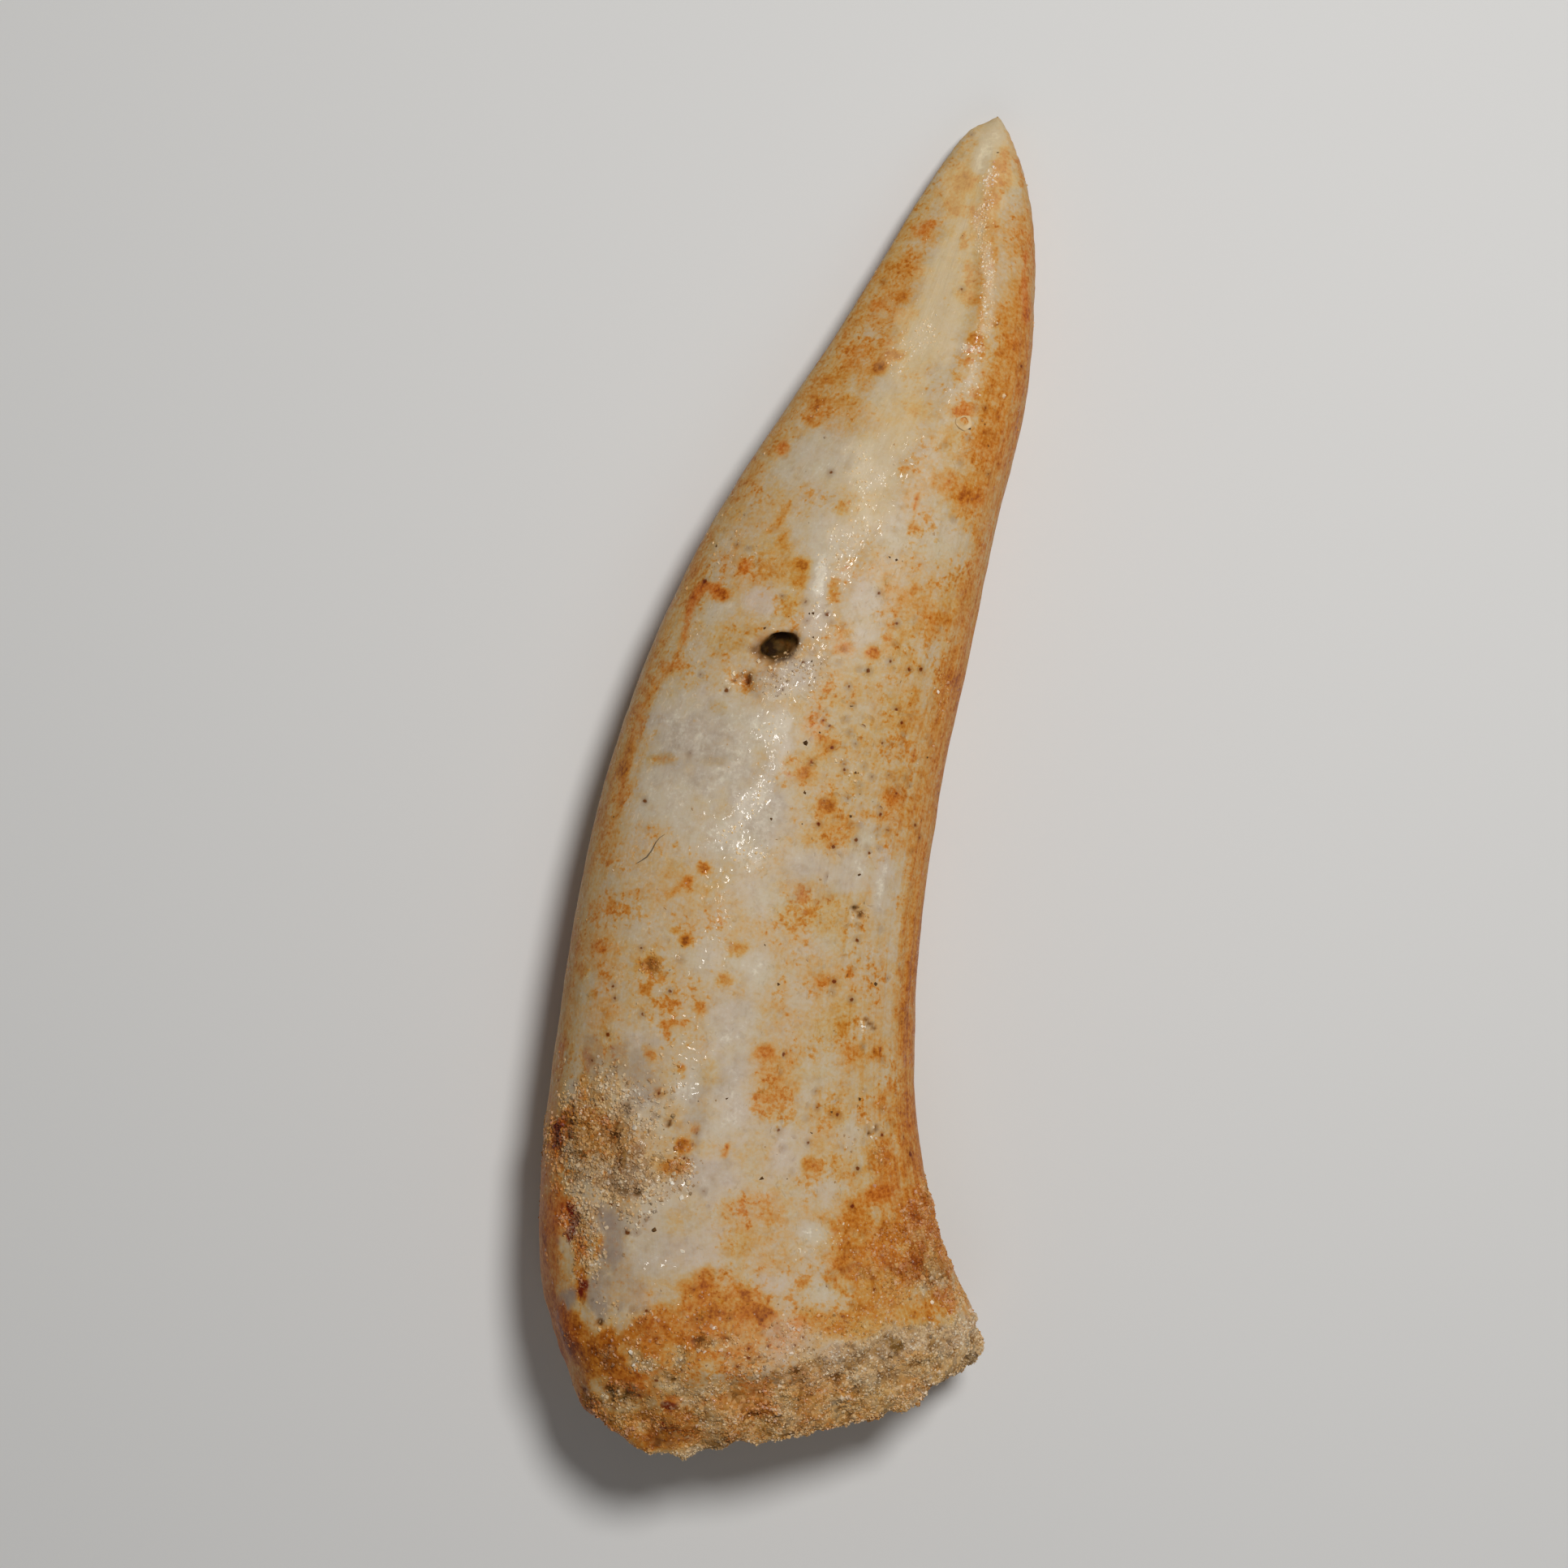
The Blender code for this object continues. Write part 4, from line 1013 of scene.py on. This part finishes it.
# %% A group for the stain's colour
def make_stain_colour():
    """The colour that iron gives to bone, darkened by dirt and painted shade. The enamel uses it, and so
    do the crumbs that lie on it.
    """
    group = bpy.data.node_groups.new("stain colour", "ShaderNodeTree")
    group.interface.new_socket("Color", in_out="OUTPUT", socket_type="NodeSocketColor")
    iron_field = field(group, "iron")
    lines = calculate(group, "SUBTRACT", growth_lines(group, 0.20, 7.0), 0.5)
    lines = times(group, lines, field(group, "striae"))
    unrest = total(
        group, mottle(group, 1.6, 0.28), mottle(group, 0.4, 0.38), mottle(group, 0.12, 0.50),
        times(group, lines, 0.45),
    )
    unrest = times(group, unrest, window(group, iron_field, -0.3, 0.6))
    fleck_place = total(
        group, mottle(group, 0.24, 1.0), mottle(group, 1.8, 0.9), times(group, iron_field, 0.5),
    )
    room_left = times(group, window(group, iron_field, 0.72, 0.40), 0.2)
    flecks = times(group, window(group, fleck_place, 0.28, 0.48), room_left)
    amount = total(group, iron_field, unrest, flecks)
    yellow = ramp(group, amount, (
        (0.00, srgb(246, 236, 208)), (0.15, srgb(206, 191, 164)), (0.34, srgb(202, 180, 142)),
        (0.48, srgb(204, 168, 110)), (0.60, srgb(203, 150, 74)), (0.72, srgb(196, 125, 36)),
        (0.86, srgb(158, 86, 12)), (1.00, srgb(92, 46, 6)),
    ))
    red = ramp(group, amount, (
        (0.00, srgb(238, 222, 208)), (0.15, srgb(204, 182, 166)), (0.34, srgb(206, 174, 144)),
        (0.48, srgb(210, 160, 110)), (0.60, srgb(210, 138, 72)), (0.72, srgb(202, 108, 32)),
        (0.86, srgb(160, 66, 8)), (1.00, srgb(104, 30, 4)),
    ))
    red_share = calculate(group, "ADD", field(group, "redness"), mottle(group, 0.9, 0.8), clamp=True)
    colour = blend(group, red_share, yellow, red)
    slate_share = total(
        group, field(group, "slate"), mottle(group, 0.6, 0.5), mottle(group, 2.0, 0.4), lines,
    )
    slate_share = window(group, slate_share, 0.05, 1.1)
    slate_share = times(group, slate_share, window(group, iron_field, 0.84, 0.60))
    colour = blend(group, slate_share, colour, srgb(154, 136, 122))
    blood_share = window(group, total(group, field(group, "oxblood"), mottle(group, 0.3, 1.4)), 0.3, 0.8)
    colour = blend(group, blood_share, colour, srgb(116, 30, 6))
    # dirt and painted shade: the soot_and_shade field darkens the colour in pits, gaps, crevices and
    # between crumbs
    grime_and_shade = ramp(group, total(group, field(group, "soot_and_shade"), mottle(group, 0.3, 0.5)), (
        (0.0, srgb(255, 255, 255)), (0.35, srgb(222, 204, 184)), (0.70, srgb(146, 118, 80)),
        (0.86, srgb(104, 88, 48)), (1.0, srgb(54, 40, 18)),
    ))
    colour = blend(group, 1.0, colour, grime_and_shade, "MULTIPLY")
    add_node(group, "NodeGroupOutput", {"Color": colour})
    return group


stain_group = make_stain_colour()
print("stain nodes:", len(stain_group.nodes))

# %% [markdown]
# ## Specks, facets and the enamel
#
# Each speck and each facet is a cell of a cell pattern, and chance decides which cells show. A facet tilts
# the surface its own way and is smoother, so that a few of them catch the light along the crest, as on
# scoured enameloid. The enamel then joins everything: the stain, a whitish veil where it is worn, which
# is partly paler enameloid and partly a painted sheen along the crest, the cream band with its painted
# light, the specks, and the brown cement between the grains of the crust.

# %% Specks
SPECK_SPACING = 0.45


def make_specks(tree):
    """1 in small round specks, as far as the speckle field lets them show."""
    distance, luck = cells_with_luck(tree, object_place(tree), 1 / (SPECK_SPACING * MM))
    shown = calculate(tree, "LESS_THAN", luck["Value"], field(tree, "speckle"))
    reach = total(tree, distance, mottle(tree, 0.15, 0.35), mottle(tree, 0.9, 0.4))
    disc = window(tree, reach, 0.22, 0.06)
    halo = times(tree, window(tree, reach, 0.6, 0.1), 0.3)
    return times(tree, shown, calculate(tree, "MAXIMUM", disc, halo))


# %% Worn facets
FACET_WIDTH = 0.055
FACET_LENGTH = 0.22
FACET_TILT = 0.50
WOBBLE_SIZE = 0.6
HALVES = (0.5, 0.5, 0.5)


def make_facets(tree, normal, share):
    """Tiny worn facets, each tilted its own way. Returns where they are, and the tilted normal."""
    space = field(tree, "grain_space", "Vector")
    wobble = add_node(tree, "ShaderNodeTexNoise", {"Vector": space, "Scale": 1 / (WOBBLE_SIZE * MM)})
    shift = vector_math(tree, "SUBTRACT", wobble.outputs["Color"], HALVES)
    shift = vector_math(tree, "MULTIPLY", shift, (MM, MM, MM))
    scales = (1 / (FACET_WIDTH * MM), 1 / (FACET_WIDTH * MM), 1 / (FACET_LENGTH * MM))
    stretched = vector_math(tree, "MULTIPLY", vector_math(tree, "ADD", space, shift), scales)
    _, luck = cells_with_luck(tree, stretched, 1.0)
    wear = total(tree, times(tree, field(tree, "wear_and_sheen"), 0.5), mottle(tree, 1.4, 0.6))
    chosen = calculate(tree, "GREATER_THAN", luck["Value"], calculate(tree, "SUBTRACT", 0.93, wear))
    chosen = times(tree, chosen, share)
    tilt = vector_math(tree, "SUBTRACT", luck["Color"], HALVES)
    tilt = vector_math(tree, "MULTIPLY", tilt, (FACET_TILT, FACET_TILT, FACET_TILT))
    tilt = add_node(tree, "ShaderNodeVectorMath", {0: tilt, "Scale": chosen}, operation="SCALE").outputs[0]
    return chosen, vector_math(tree, "NORMALIZE", vector_math(tree, "ADD", normal, tilt))


# %% Fossil enamel
GRAIN_SIZE = 0.16
GROWTH_BUMP = 0.014
GRAIN_BUMP = 0.04
ENAMEL_IOR = 1.55


def make_enamel():
    material, tree, shader = new_material("fossil_enamel")
    colour = add_node(tree, "ShaderNodeGroup", node_tree=stain_group).outputs["Color"]
    # painted sheen: a whitish veil along the worn lines, partly paler worn enameloid and partly a painted
    # highlight on the crest
    sheen_veil = total(tree, field(tree, "wear_and_sheen"), mottle(tree, 0.3, 1.3), mottle(tree, 1.2, 1.0))
    sheen_veil = times(tree, window(tree, sheen_veil, 0.25, 1.25), 0.5)
    sheen_veil = times(tree, sheen_veil, window(tree, field(tree, "iron"), 0.74, 0.46))
    colour = blend(tree, sheen_veil, colour, srgb(234, 220, 198))
    # painted light: the cream band lightens the colour, most near the tip
    cream_and_light = window(tree, total(tree, field(tree, "cream_and_light"), mottle(tree, 1.0, 0.6)), 0.0, 1.0)
    colour = blend(tree, times(tree, cream_and_light, 0.34), colour, srgb(244, 212, 152))
    colour = blend(tree, make_specks(tree), colour, srgb(150, 98, 48), "MULTIPLY")

    sand_share = window(tree, total(tree, field(tree, "sand"), mottle(tree, 0.3, 0.9)), 0.25, 0.75)
    grain_distance, luck = cells_with_luck(tree, object_place(tree), 1 / (GRAIN_SIZE * MM))
    tone = times(tree, luck["Value"], 0.7)
    matrix = ramp(tree, total(tree, tone, mottle(tree, 1.2, 1.0), 0.1), (
        (0.05, srgb(74, 46, 12)), (0.30, srgb(136, 92, 36)), (0.60, srgb(200, 148, 78)),
        (0.90, srgb(228, 190, 136)),
    ))
    colour = blend(tree, times(tree, sand_share, 0.48), colour, matrix)
    tree.links.new(colour, shader.inputs["Base Color"])

    lines = growth_lines(tree, 0.22, 6.0)
    fine_lines = growth_lines(tree, 0.10, 5.0)
    enamel_height = total(
        tree, times(tree, fine_lines, 0.6), times(tree, lines, 0.5), mottle(tree, 0.12, 0.35),
    )
    bump = add_node(tree, "ShaderNodeBump", {
        "Strength": 1.0, "Distance": GROWTH_BUMP * MM, "Height": enamel_height,
    })
    granular = add_node(tree, "ShaderNodeBump", {
        "Strength": sand_share, "Distance": GRAIN_BUMP * MM, "Normal": bump.outputs["Normal"],
        "Height": calculate(tree, "SUBTRACT", 1.0, grain_distance),
    })
    clean = calculate(tree, "SUBTRACT", 1.0, sand_share)
    facets, normal = make_facets(tree, granular.outputs["Normal"], clean)
    tree.links.new(normal, shader.inputs["Normal"])

    gloss = total(tree, 0.5, mottle(tree, 0.3, 0.3), mottle(tree, 2.0, 0.2))
    dull = calculate(tree, "MAXIMUM", sand_share, field(tree, "soot_and_shade"))
    rough = calculate(tree, "MAXIMUM", gloss, times(tree, dull, 0.9))
    rough = calculate(tree, "MAXIMUM", calculate(tree, "SUBTRACT", rough, facets), 0.1)
    tree.links.new(rough, shader.inputs["Roughness"])
    for socket, value in {
        "IOR": ENAMEL_IOR, "Specular IOR Level": 0.15, "Subsurface Weight": 0.05,
        "Subsurface Radius": (1.0, 0.6, 0.35), "Subsurface Scale": 0.3 * MM,
    }.items():
        shader.inputs[socket].default_value = value
    return material


enamel = make_enamel()
surface.data.materials.append(enamel)
print("enamel nodes:", len(enamel.node_tree.nodes))

# %% [markdown]
# ## Grains of sand
#
# The crust is sand, so it is built as sand. Some kinds of angular crumb are modelled and copied thousands
# of times, each copy turned and sized by chance, with a fixed seed, and sunk in, deeper on the sides.
# More crumbs fall where the sand or grit field is high. Each layer is joined into one mesh, because loose
# copies would be too many. A crumb takes on the stains of the place where it lies, but less of the dirt
# and painted shade.

# %% Model the crumbs
CRUMB_KINDS = 14
chance = np.random.default_rng(11)
cube_corners = np.array([(x, y, z) for x in (-1, 1) for y in (-1, 1) for z in (-1, 1)], float)


def model_crumb():
    """An angular grain of about size 1: the hull round a cube's eight corners, shaken and stretched."""
    corners = cube_corners + chance.normal(scale=0.34, size=cube_corners.shape)
    corners /= np.linalg.norm(corners, axis=1)[:, None]
    corners *= 0.5 * chance.uniform(0.65, 1.35, 3)
    mesh = bpy.data.meshes.new("crumb")
    mesh.from_pydata(corners.tolist(), [], [])
    crumb = add_piece("crumb", mesh)
    bpy.ops.object.mode_set(mode="EDIT")
    bpy.ops.mesh.select_all(action="SELECT")
    bpy.ops.mesh.convex_hull(join_triangles=False)
    bpy.ops.mesh.normals_make_consistent(inside=False)
    bpy.ops.object.mode_set(mode="OBJECT")
    shape = [vertex.co[:] for vertex in mesh.vertices]
    faces = [face.vertices[:] for face in mesh.polygons]
    bpy.data.objects.remove(crumb)
    return shape, faces


crumbs = [model_crumb() for _ in range(CRUMB_KINDS)]
crumb_shapes = np.array([shape for shape, _ in crumbs])
crumb_faces = np.array([faces for _, faces in crumbs])
print("kinds of crumb, points and faces in each:", crumb_shapes.shape[:2], crumb_faces.shape[1])


# %% Scatter and join them
SIDE_SINK = 0.14
SOOT_AND_SHADE_ON_CRUMBS = 0.55
LOWEST_CORNER = 0.01


def random_turns(count):
    """Evenly random rotation matrices."""
    turns, _ = np.linalg.qr(chance.normal(size=(count, 3, 3)))
    turns[:, :, 0] *= np.sign(np.linalg.det(turns))[:, None]
    return turns


def lay_crumbs(name, picked, size, sink, spread=0.07, palest=0.0):
    """One mesh of crumbs at the picked points, sunk in by a share of their size."""
    jitter = chance.normal(scale=spread, size=(len(picked), 3))
    centres = points[picked] + jitter - normals[picked] * (jitter * normals[picked]).sum(1)[:, None]
    sunk = sink + SIDE_SINK * (1 - np.abs(normals[picked, 2]))
    centres = centres + normals[picked] * ((0.5 - sunk) * size)[:, None]
    kinds = chance.integers(0, CRUMB_KINDS, len(picked))
    shapes = crumb_shapes[kinds] * size[:, None, None]
    corners = np.einsum("nij,nkj->nki", random_turns(len(picked)), shapes) + centres[:, None, :]
    above_floor = corners[:, :, 2].min(1) > LOWEST_CORNER
    corners, picked, kinds = corners[above_floor], picked[above_floor], kinds[above_floor]
    made, corner_count = corners.shape[:2]
    faces = crumb_faces[kinds] + (np.arange(made) * corner_count)[:, None, None]
    mesh = bpy.data.meshes.new(name)
    mesh.from_pydata((corners * MM).reshape(-1, 3).tolist(), [], faces.reshape(-1, 3).tolist())
    store(mesh, "tone", np.repeat(palest + (1 - palest) * chance.random(made), corner_count))
    for field_name, values in stains.items():
        share = SOOT_AND_SHADE_ON_CRUMBS if field_name == "soot_and_shade" else 1.0
        store(mesh, field_name, np.repeat(share * values[picked], corner_count))
    print(name, made, "crumbs,", faces.shape[0] * faces.shape[1], "triangles")
    return add_piece(name, mesh)


def scatter(name, weights, count, smallest, largest, sink):
    """Crumbs by chance, more of them where the weight is high, and more small ones than large ones."""
    picked = chance.choice(len(points), count, p=weights / weights.sum(), replace=True)
    size = smallest + (largest - smallest) * chance.random(count) ** 2.2
    return lay_crumbs(name, picked, size, sink)


normals = read_normals(surface.data)
clumps = np.clip(0.7 + 0.7 * cloud(points, 0.8, 2, seed=14), 0.1, None)
on_root = smooth_step(0.2, 0.9, root_zone * np.clip(sand * 1.2, 0, 1)) * clumps
on_flanks = grit * (1 - root_zone) * clumps
left_patch = smooth_step(900, 840, column)
left_patch *= smooth_step(1300, 1330, row) * smooth_step(1570, 1540, row)
right_patch = smooth_step(1085, 1115, column)
right_patch *= smooth_step(1460, 1490, row) * smooth_step(1640, 1610, row)
on_patch = on_flanks * (left_patch + right_patch)
sand_pieces = [
    scatter("coarse_root_sand", on_root, 14000, 0.09, 0.24, 0.78),
    scatter("fine_root_sand", on_root, 16300, 0.06, 0.14, 0.66),
    scatter("flank_sand", on_flanks, 16300, 0.05, 0.18, 0.64),
    scatter("patch_sand", on_patch, 7500, 0.08, 0.22, 0.56),
]


# %% [markdown]
# ## Chips, white grains and dirt
#
# The same crumbs serve for three small things. Pale chips lie thinly along the worn lines, partly as
# chips and partly as painted glints along the crest and keel. The brightest grains of the photo are set
# one by one, since the eye finds them first. Dark crumbs, sunk deep, fill the pinholes. A ring of scale
# and a short dark fibre, both stuck to the face, are modelled last.

# %% Chips and white grains
FLAKES = 1000
WHITE_SIZE = 0.18
WHITE_GRAINS = (
    (968, 804), (739, 1636), (1239, 488), (1176, 1592), (985, 1540), (840, 1478), (1060, 1260),
    (1064, 1263), (1068, 1264), (1063, 1269), (1076, 1386), (1075, 1401), (988, 807), (936, 812),
    (905, 831), (913, 843), (902, 842), (916, 829), (1002, 1698), (1008, 1700), (1024, 1700),
    (1028, 1702), (1018, 1690), (1045, 1692), (1145, 1520), (1159, 1570), (1147, 1605), (1137, 1575),
    (1126, 1555), (1148, 1545), (776, 1665), (779, 1680), (785, 1689), (844, 1659), (852, 1647),
    (861, 1662), (870, 1665), (895, 1658), (879, 1638), (742, 1718), (747, 1722), (865, 1751),
    (876, 1753), (903, 1774), (876, 1718), (835, 1672), (715, 1346), (706, 1359), (715, 1371),
    (730, 1383), (712, 1380), (739, 1398), (732, 1413), (706, 1395), (724, 1350), (818, 1344),
    (815, 1358), (769, 1453), (766, 1459), (827, 1456), (848, 1459), (833, 1439), (700, 1459),
    (800, 1492), (842, 1543), (722, 1366), (720, 1390), (745, 1376), (755, 1425), (728, 1430),
    (1050, 951), (1047, 955), (1154, 852), (1031, 938), (935, 813), (948, 820),
)


def points_at(places):
    """The upper face's nearest point to each place in the photo."""
    gaps = [np.hypot(column[upper_points] - x, row[upper_points] - y) for x, y in places]
    return upper_points[[np.argmin(gap) for gap in gaps]]


# painted glints: pale chips scattered along the worn lines stand in part for glints on the crest and keel
on_wear_and_sheen = wear_and_sheen**2 * np.interp(row, [440, 520], [1.0, 0.3])
flake_points = np.append(
    points_at(WHITE_GRAINS), chance.choice(len(points), FLAKES, p=on_wear_and_sheen / on_wear_and_sheen.sum()),
)
flake_sizes = np.append(np.full(len(WHITE_GRAINS), WHITE_SIZE), chance.uniform(0.05, 0.12, FLAKES))
pale_chips_and_glints = lay_crumbs("pale_chips_and_glints", flake_points, flake_sizes, 0.6, 0.02, 0.6)

# %% Dirt in the pinholes
PINHOLES = (
    (995, 916), (1009, 905), (1038, 901), (1051, 869), (1137, 882), (1058, 953), (1058, 980), (987, 1016),
    (967, 853), (1143, 934), (1096, 942), (1047, 1007), (1096, 690), (1105, 690), (1113, 691), (970, 758),
    (996, 754), (1004, 757), (1044, 1200), (804, 1513), (862, 1357), (896, 1354), (1194, 530),
    (775, 1336), (941, 1452), (970, 1451), (1212, 525), (1218, 547), (1085, 1575), (1123, 855),
    (993, 975), (1061, 1078), (943, 1163), (838, 1166), (959, 1215), (1080, 1212), (1106, 1051),
    (1136, 1013), (757, 1008), (1058, 1356), (943, 773), (1000, 786), (1003, 817), (1112, 840),
    (966, 852), (992, 974), (1143, 935), (1054, 951), (1026, 1371), (998, 1397), (976, 1639), (862, 1570),
    (1229, 188), (1186, 292), (1085, 402), (885, 672), (950, 1010), (945, 1027), (1061, 1137),
    (1075, 1210), (757, 1355), (797, 1426),
)

dirt_sizes = chance.uniform(0.12, 0.22, len(PINHOLES))
pore_dirt = lay_crumbs("pore_dirt", points_at(PINHOLES), dirt_sizes, 0.76, 0.0)


# %% A ring of scale and a stray fibre
def place_on_fang(at_column, at_row, lift=0.0):
    """The point in millimetres where the camera sees a place of the photo on the fang."""
    height = height_under(at_column, at_row) + lift
    nearer = camera_distance / (camera_height - height)
    right = (at_column - PHOTO_SIDE / 2) / PIXELS_PER_MM / nearer
    up = (PHOTO_SIDE / 2 - at_row) / PIXELS_PER_MM / nearer
    turned = complex(right, up) * complex(math.cos(CAMERA_TURN), math.sin(CAMERA_TURN))
    return Vector((turned.real + AIM[0], turned.imag + AIM[1], height))


RING = (1188, 520)
RING_RADIUS = 0.22
RING_THICKNESS = 0.06

ring_normal = Vector(normals[points_at([RING])[0]])
bpy.ops.object.select_all(action="DESELECT")
bpy.ops.mesh.primitive_torus_add(
    major_radius=RING_RADIUS, minor_radius=RING_THICKNESS, major_segments=40, minor_segments=10,
)
scale_ring = bpy.context.object
scale_ring.name = "scale_ring"
tilt = ring_normal.to_track_quat("Z", "Y").to_matrix()
ring_centre = place_on_fang(*RING)
for vertex in scale_ring.data.vertices:
    bumped = vertex.co * (1 + 0.35 * noise.noise(vertex.co * 5))
    bumped.z *= 0.6 + 1.2 * noise.noise(vertex.co * 4)
    vertex.co = (ring_centre + tilt @ bumped) * MM
for name, value in {"tone": 0.56, "iron": 0.4, "redness": 0.1}.items():
    store(scale_ring.data, name, np.full(len(scale_ring.data.vertices), value))
sand_pieces.append(scale_ring)

FIBRE = ((784, 1064), (791, 1060), (797, 1056), (803, 1048), (808, 1038), (813, 1032), (819, 1028))
FIBRE_THICKNESS = (0.3, 0.8, 1.2, 1.0, 0.7, 0.45, 0.2)
FIBRE_RADIUS = 0.022

path = bpy.data.curves.new("stray_fibre", "CURVE")
path.dimensions = "3D"
path.bevel_depth = FIBRE_RADIUS * MM
path.bevel_resolution = 1
path.use_fill_caps = True
strand = path.splines.new("POLY")
strand.points.add(len(FIBRE) - 1)
for knot, place, thickness in zip(strand.points, FIBRE, FIBRE_THICKNESS):
    knot.co = (*(place_on_fang(*place, lift=0.02) * MM), 1)
    knot.radius = thickness
fibre = add_piece("stray_fibre", path)
bpy.ops.object.convert(target="MESH")
print("ring faces:", len(scale_ring.data.polygons), "fibre faces:", len(fibre.data.polygons))


# %% [markdown]
# ## The material of the sand
#
# Phosphate sand runs from brown through honey to nearly white, and each grain has one tone. The material
# reads that tone from the mesh, and mixes in the stain of the place. The chips take on hardly any stain.
# Dirt and fibre are matt and dark.

# %% Sand
def make_sand(name, least_stain):
    """Grains of their own colour, which take on more of the stain where they lie in iron, and in dirt and
    painted shade.
    """
    material, tree, shader = new_material(name)
    stain = add_node(tree, "ShaderNodeGroup", node_tree=stain_group).outputs["Color"]
    tone = total(tree, field(tree, "tone"), mottle(tree, 0.08, 0.15), mottle(tree, 0.9, 0.7))
    own = ramp(tree, tone, (
        (0.00, srgb(78, 46, 10)), (0.12, srgb(152, 100, 38)), (0.32, srgb(214, 160, 88)),
        (0.56, srgb(234, 194, 134)), (0.78, srgb(242, 216, 172)), (1.00, srgb(255, 246, 228)),
    ))
    iron_share = times(tree, field(tree, "iron"), 0.5)
    stained = total(tree, least_stain, iron_share, field(tree, "soot_and_shade"))
    colour = blend(tree, calculate(tree, "SUBTRACT", 1.0, stained, clamp=True), stain, own)
    tree.links.new(colour, shader.inputs["Base Color"])
    gloss = total(tree, 0.42, mottle(tree, 0.1, 0.5))
    tree.links.new(calculate(tree, "MAXIMUM", gloss, 0.15), shader.inputs["Roughness"])
    shader.inputs["Specular IOR Level"].default_value = 0.3
    return material


sand_material = make_sand("cemented_sand", 0.38)
for piece in sand_pieces:
    piece.data.materials.append(sand_material)
pale_chips_and_glints.data.materials.append(make_sand("pale_chips_and_glints", -0.1))

# %% Dirt and fibre
for piece, dark, light in (
    (pore_dirt, srgb(64, 44, 22), srgb(120, 84, 46)), (fibre, srgb(92, 78, 58), srgb(134, 118, 94)),
):
    matt, matt_tree, matt_shader = new_material(piece.name)
    share = total(matt_tree, 0.5, mottle(matt_tree, 0.2, 2.0))
    matt_tree.links.new(blend(matt_tree, share, dark, light), matt_shader.inputs["Base Color"])
    matt_shader.inputs["Roughness"].default_value = 0.9
    matt_shader.inputs["Specular IOR Level"].default_value = 0.1
    piece.data.materials.append(matt)
print("matt materials:", pore_dirt.name, fibre.name)

# %% [markdown]
# ## Floor and light
#
# The fang lies on a plain pale floor. One soft light stands nearly above it, towards the tip, so that
# its reflection runs down the crest of the fang. A wider, weaker one stands beyond the root end.

# %% Floor
bpy.ops.object.select_all(action="DESELECT")
bpy.ops.mesh.primitive_plane_add(size=0.9)
floor = bpy.context.object
floor.name = "floor"
floor_material, floor_tree, floor_shader = new_material("pale_floor")
floor_shader.inputs["Base Color"].default_value = (0.76, 0.75, 0.73, 1)
floor_shader.inputs["Roughness"].default_value = 0.9
floor_shader.inputs["Specular IOR Level"].default_value = 0.2
floor.data.materials.append(floor_material)


# %% Lights
def add_light(name, place, size, power, colour=(1, 1, 1)):
    bpy.ops.object.light_add(type="AREA", location=Vector(place) * MM)
    light = bpy.context.object
    light.name = name
    light.data.shape = "DISK"
    light.data.size = size * MM
    light.data.energy = power
    light.data.color = colour
    light.rotation_euler = (-light.location).to_track_quat("-Z", "Y").to_euler()
    return light


add_light("main light", (30, 56, 158), 42, 0.198)
add_light("fill light", (40, -160, 170), 130, 0.036)
world = bpy.data.worlds.new("studio")
world.use_nodes = True
world.node_tree.nodes["Background"].inputs["Color"].default_value = (1, 1, 1, 1)
world.node_tree.nodes["Background"].inputs["Strength"].default_value = 0.09
bpy.context.scene.world = world
bpy.context.scene.view_settings.view_transform = "Standard"

# %% [markdown]
# ## Fasten everything to the frame
#
# Every piece rides on the fang's one body. The surface takes the place of the plain solid.

# %% Ride, replace and finish
for piece in (surface, *sand_pieces, pale_chips_and_glints, pore_dirt, fibre):
    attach(piece, "root")
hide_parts("fang")
bpy.context.view_layer.update()
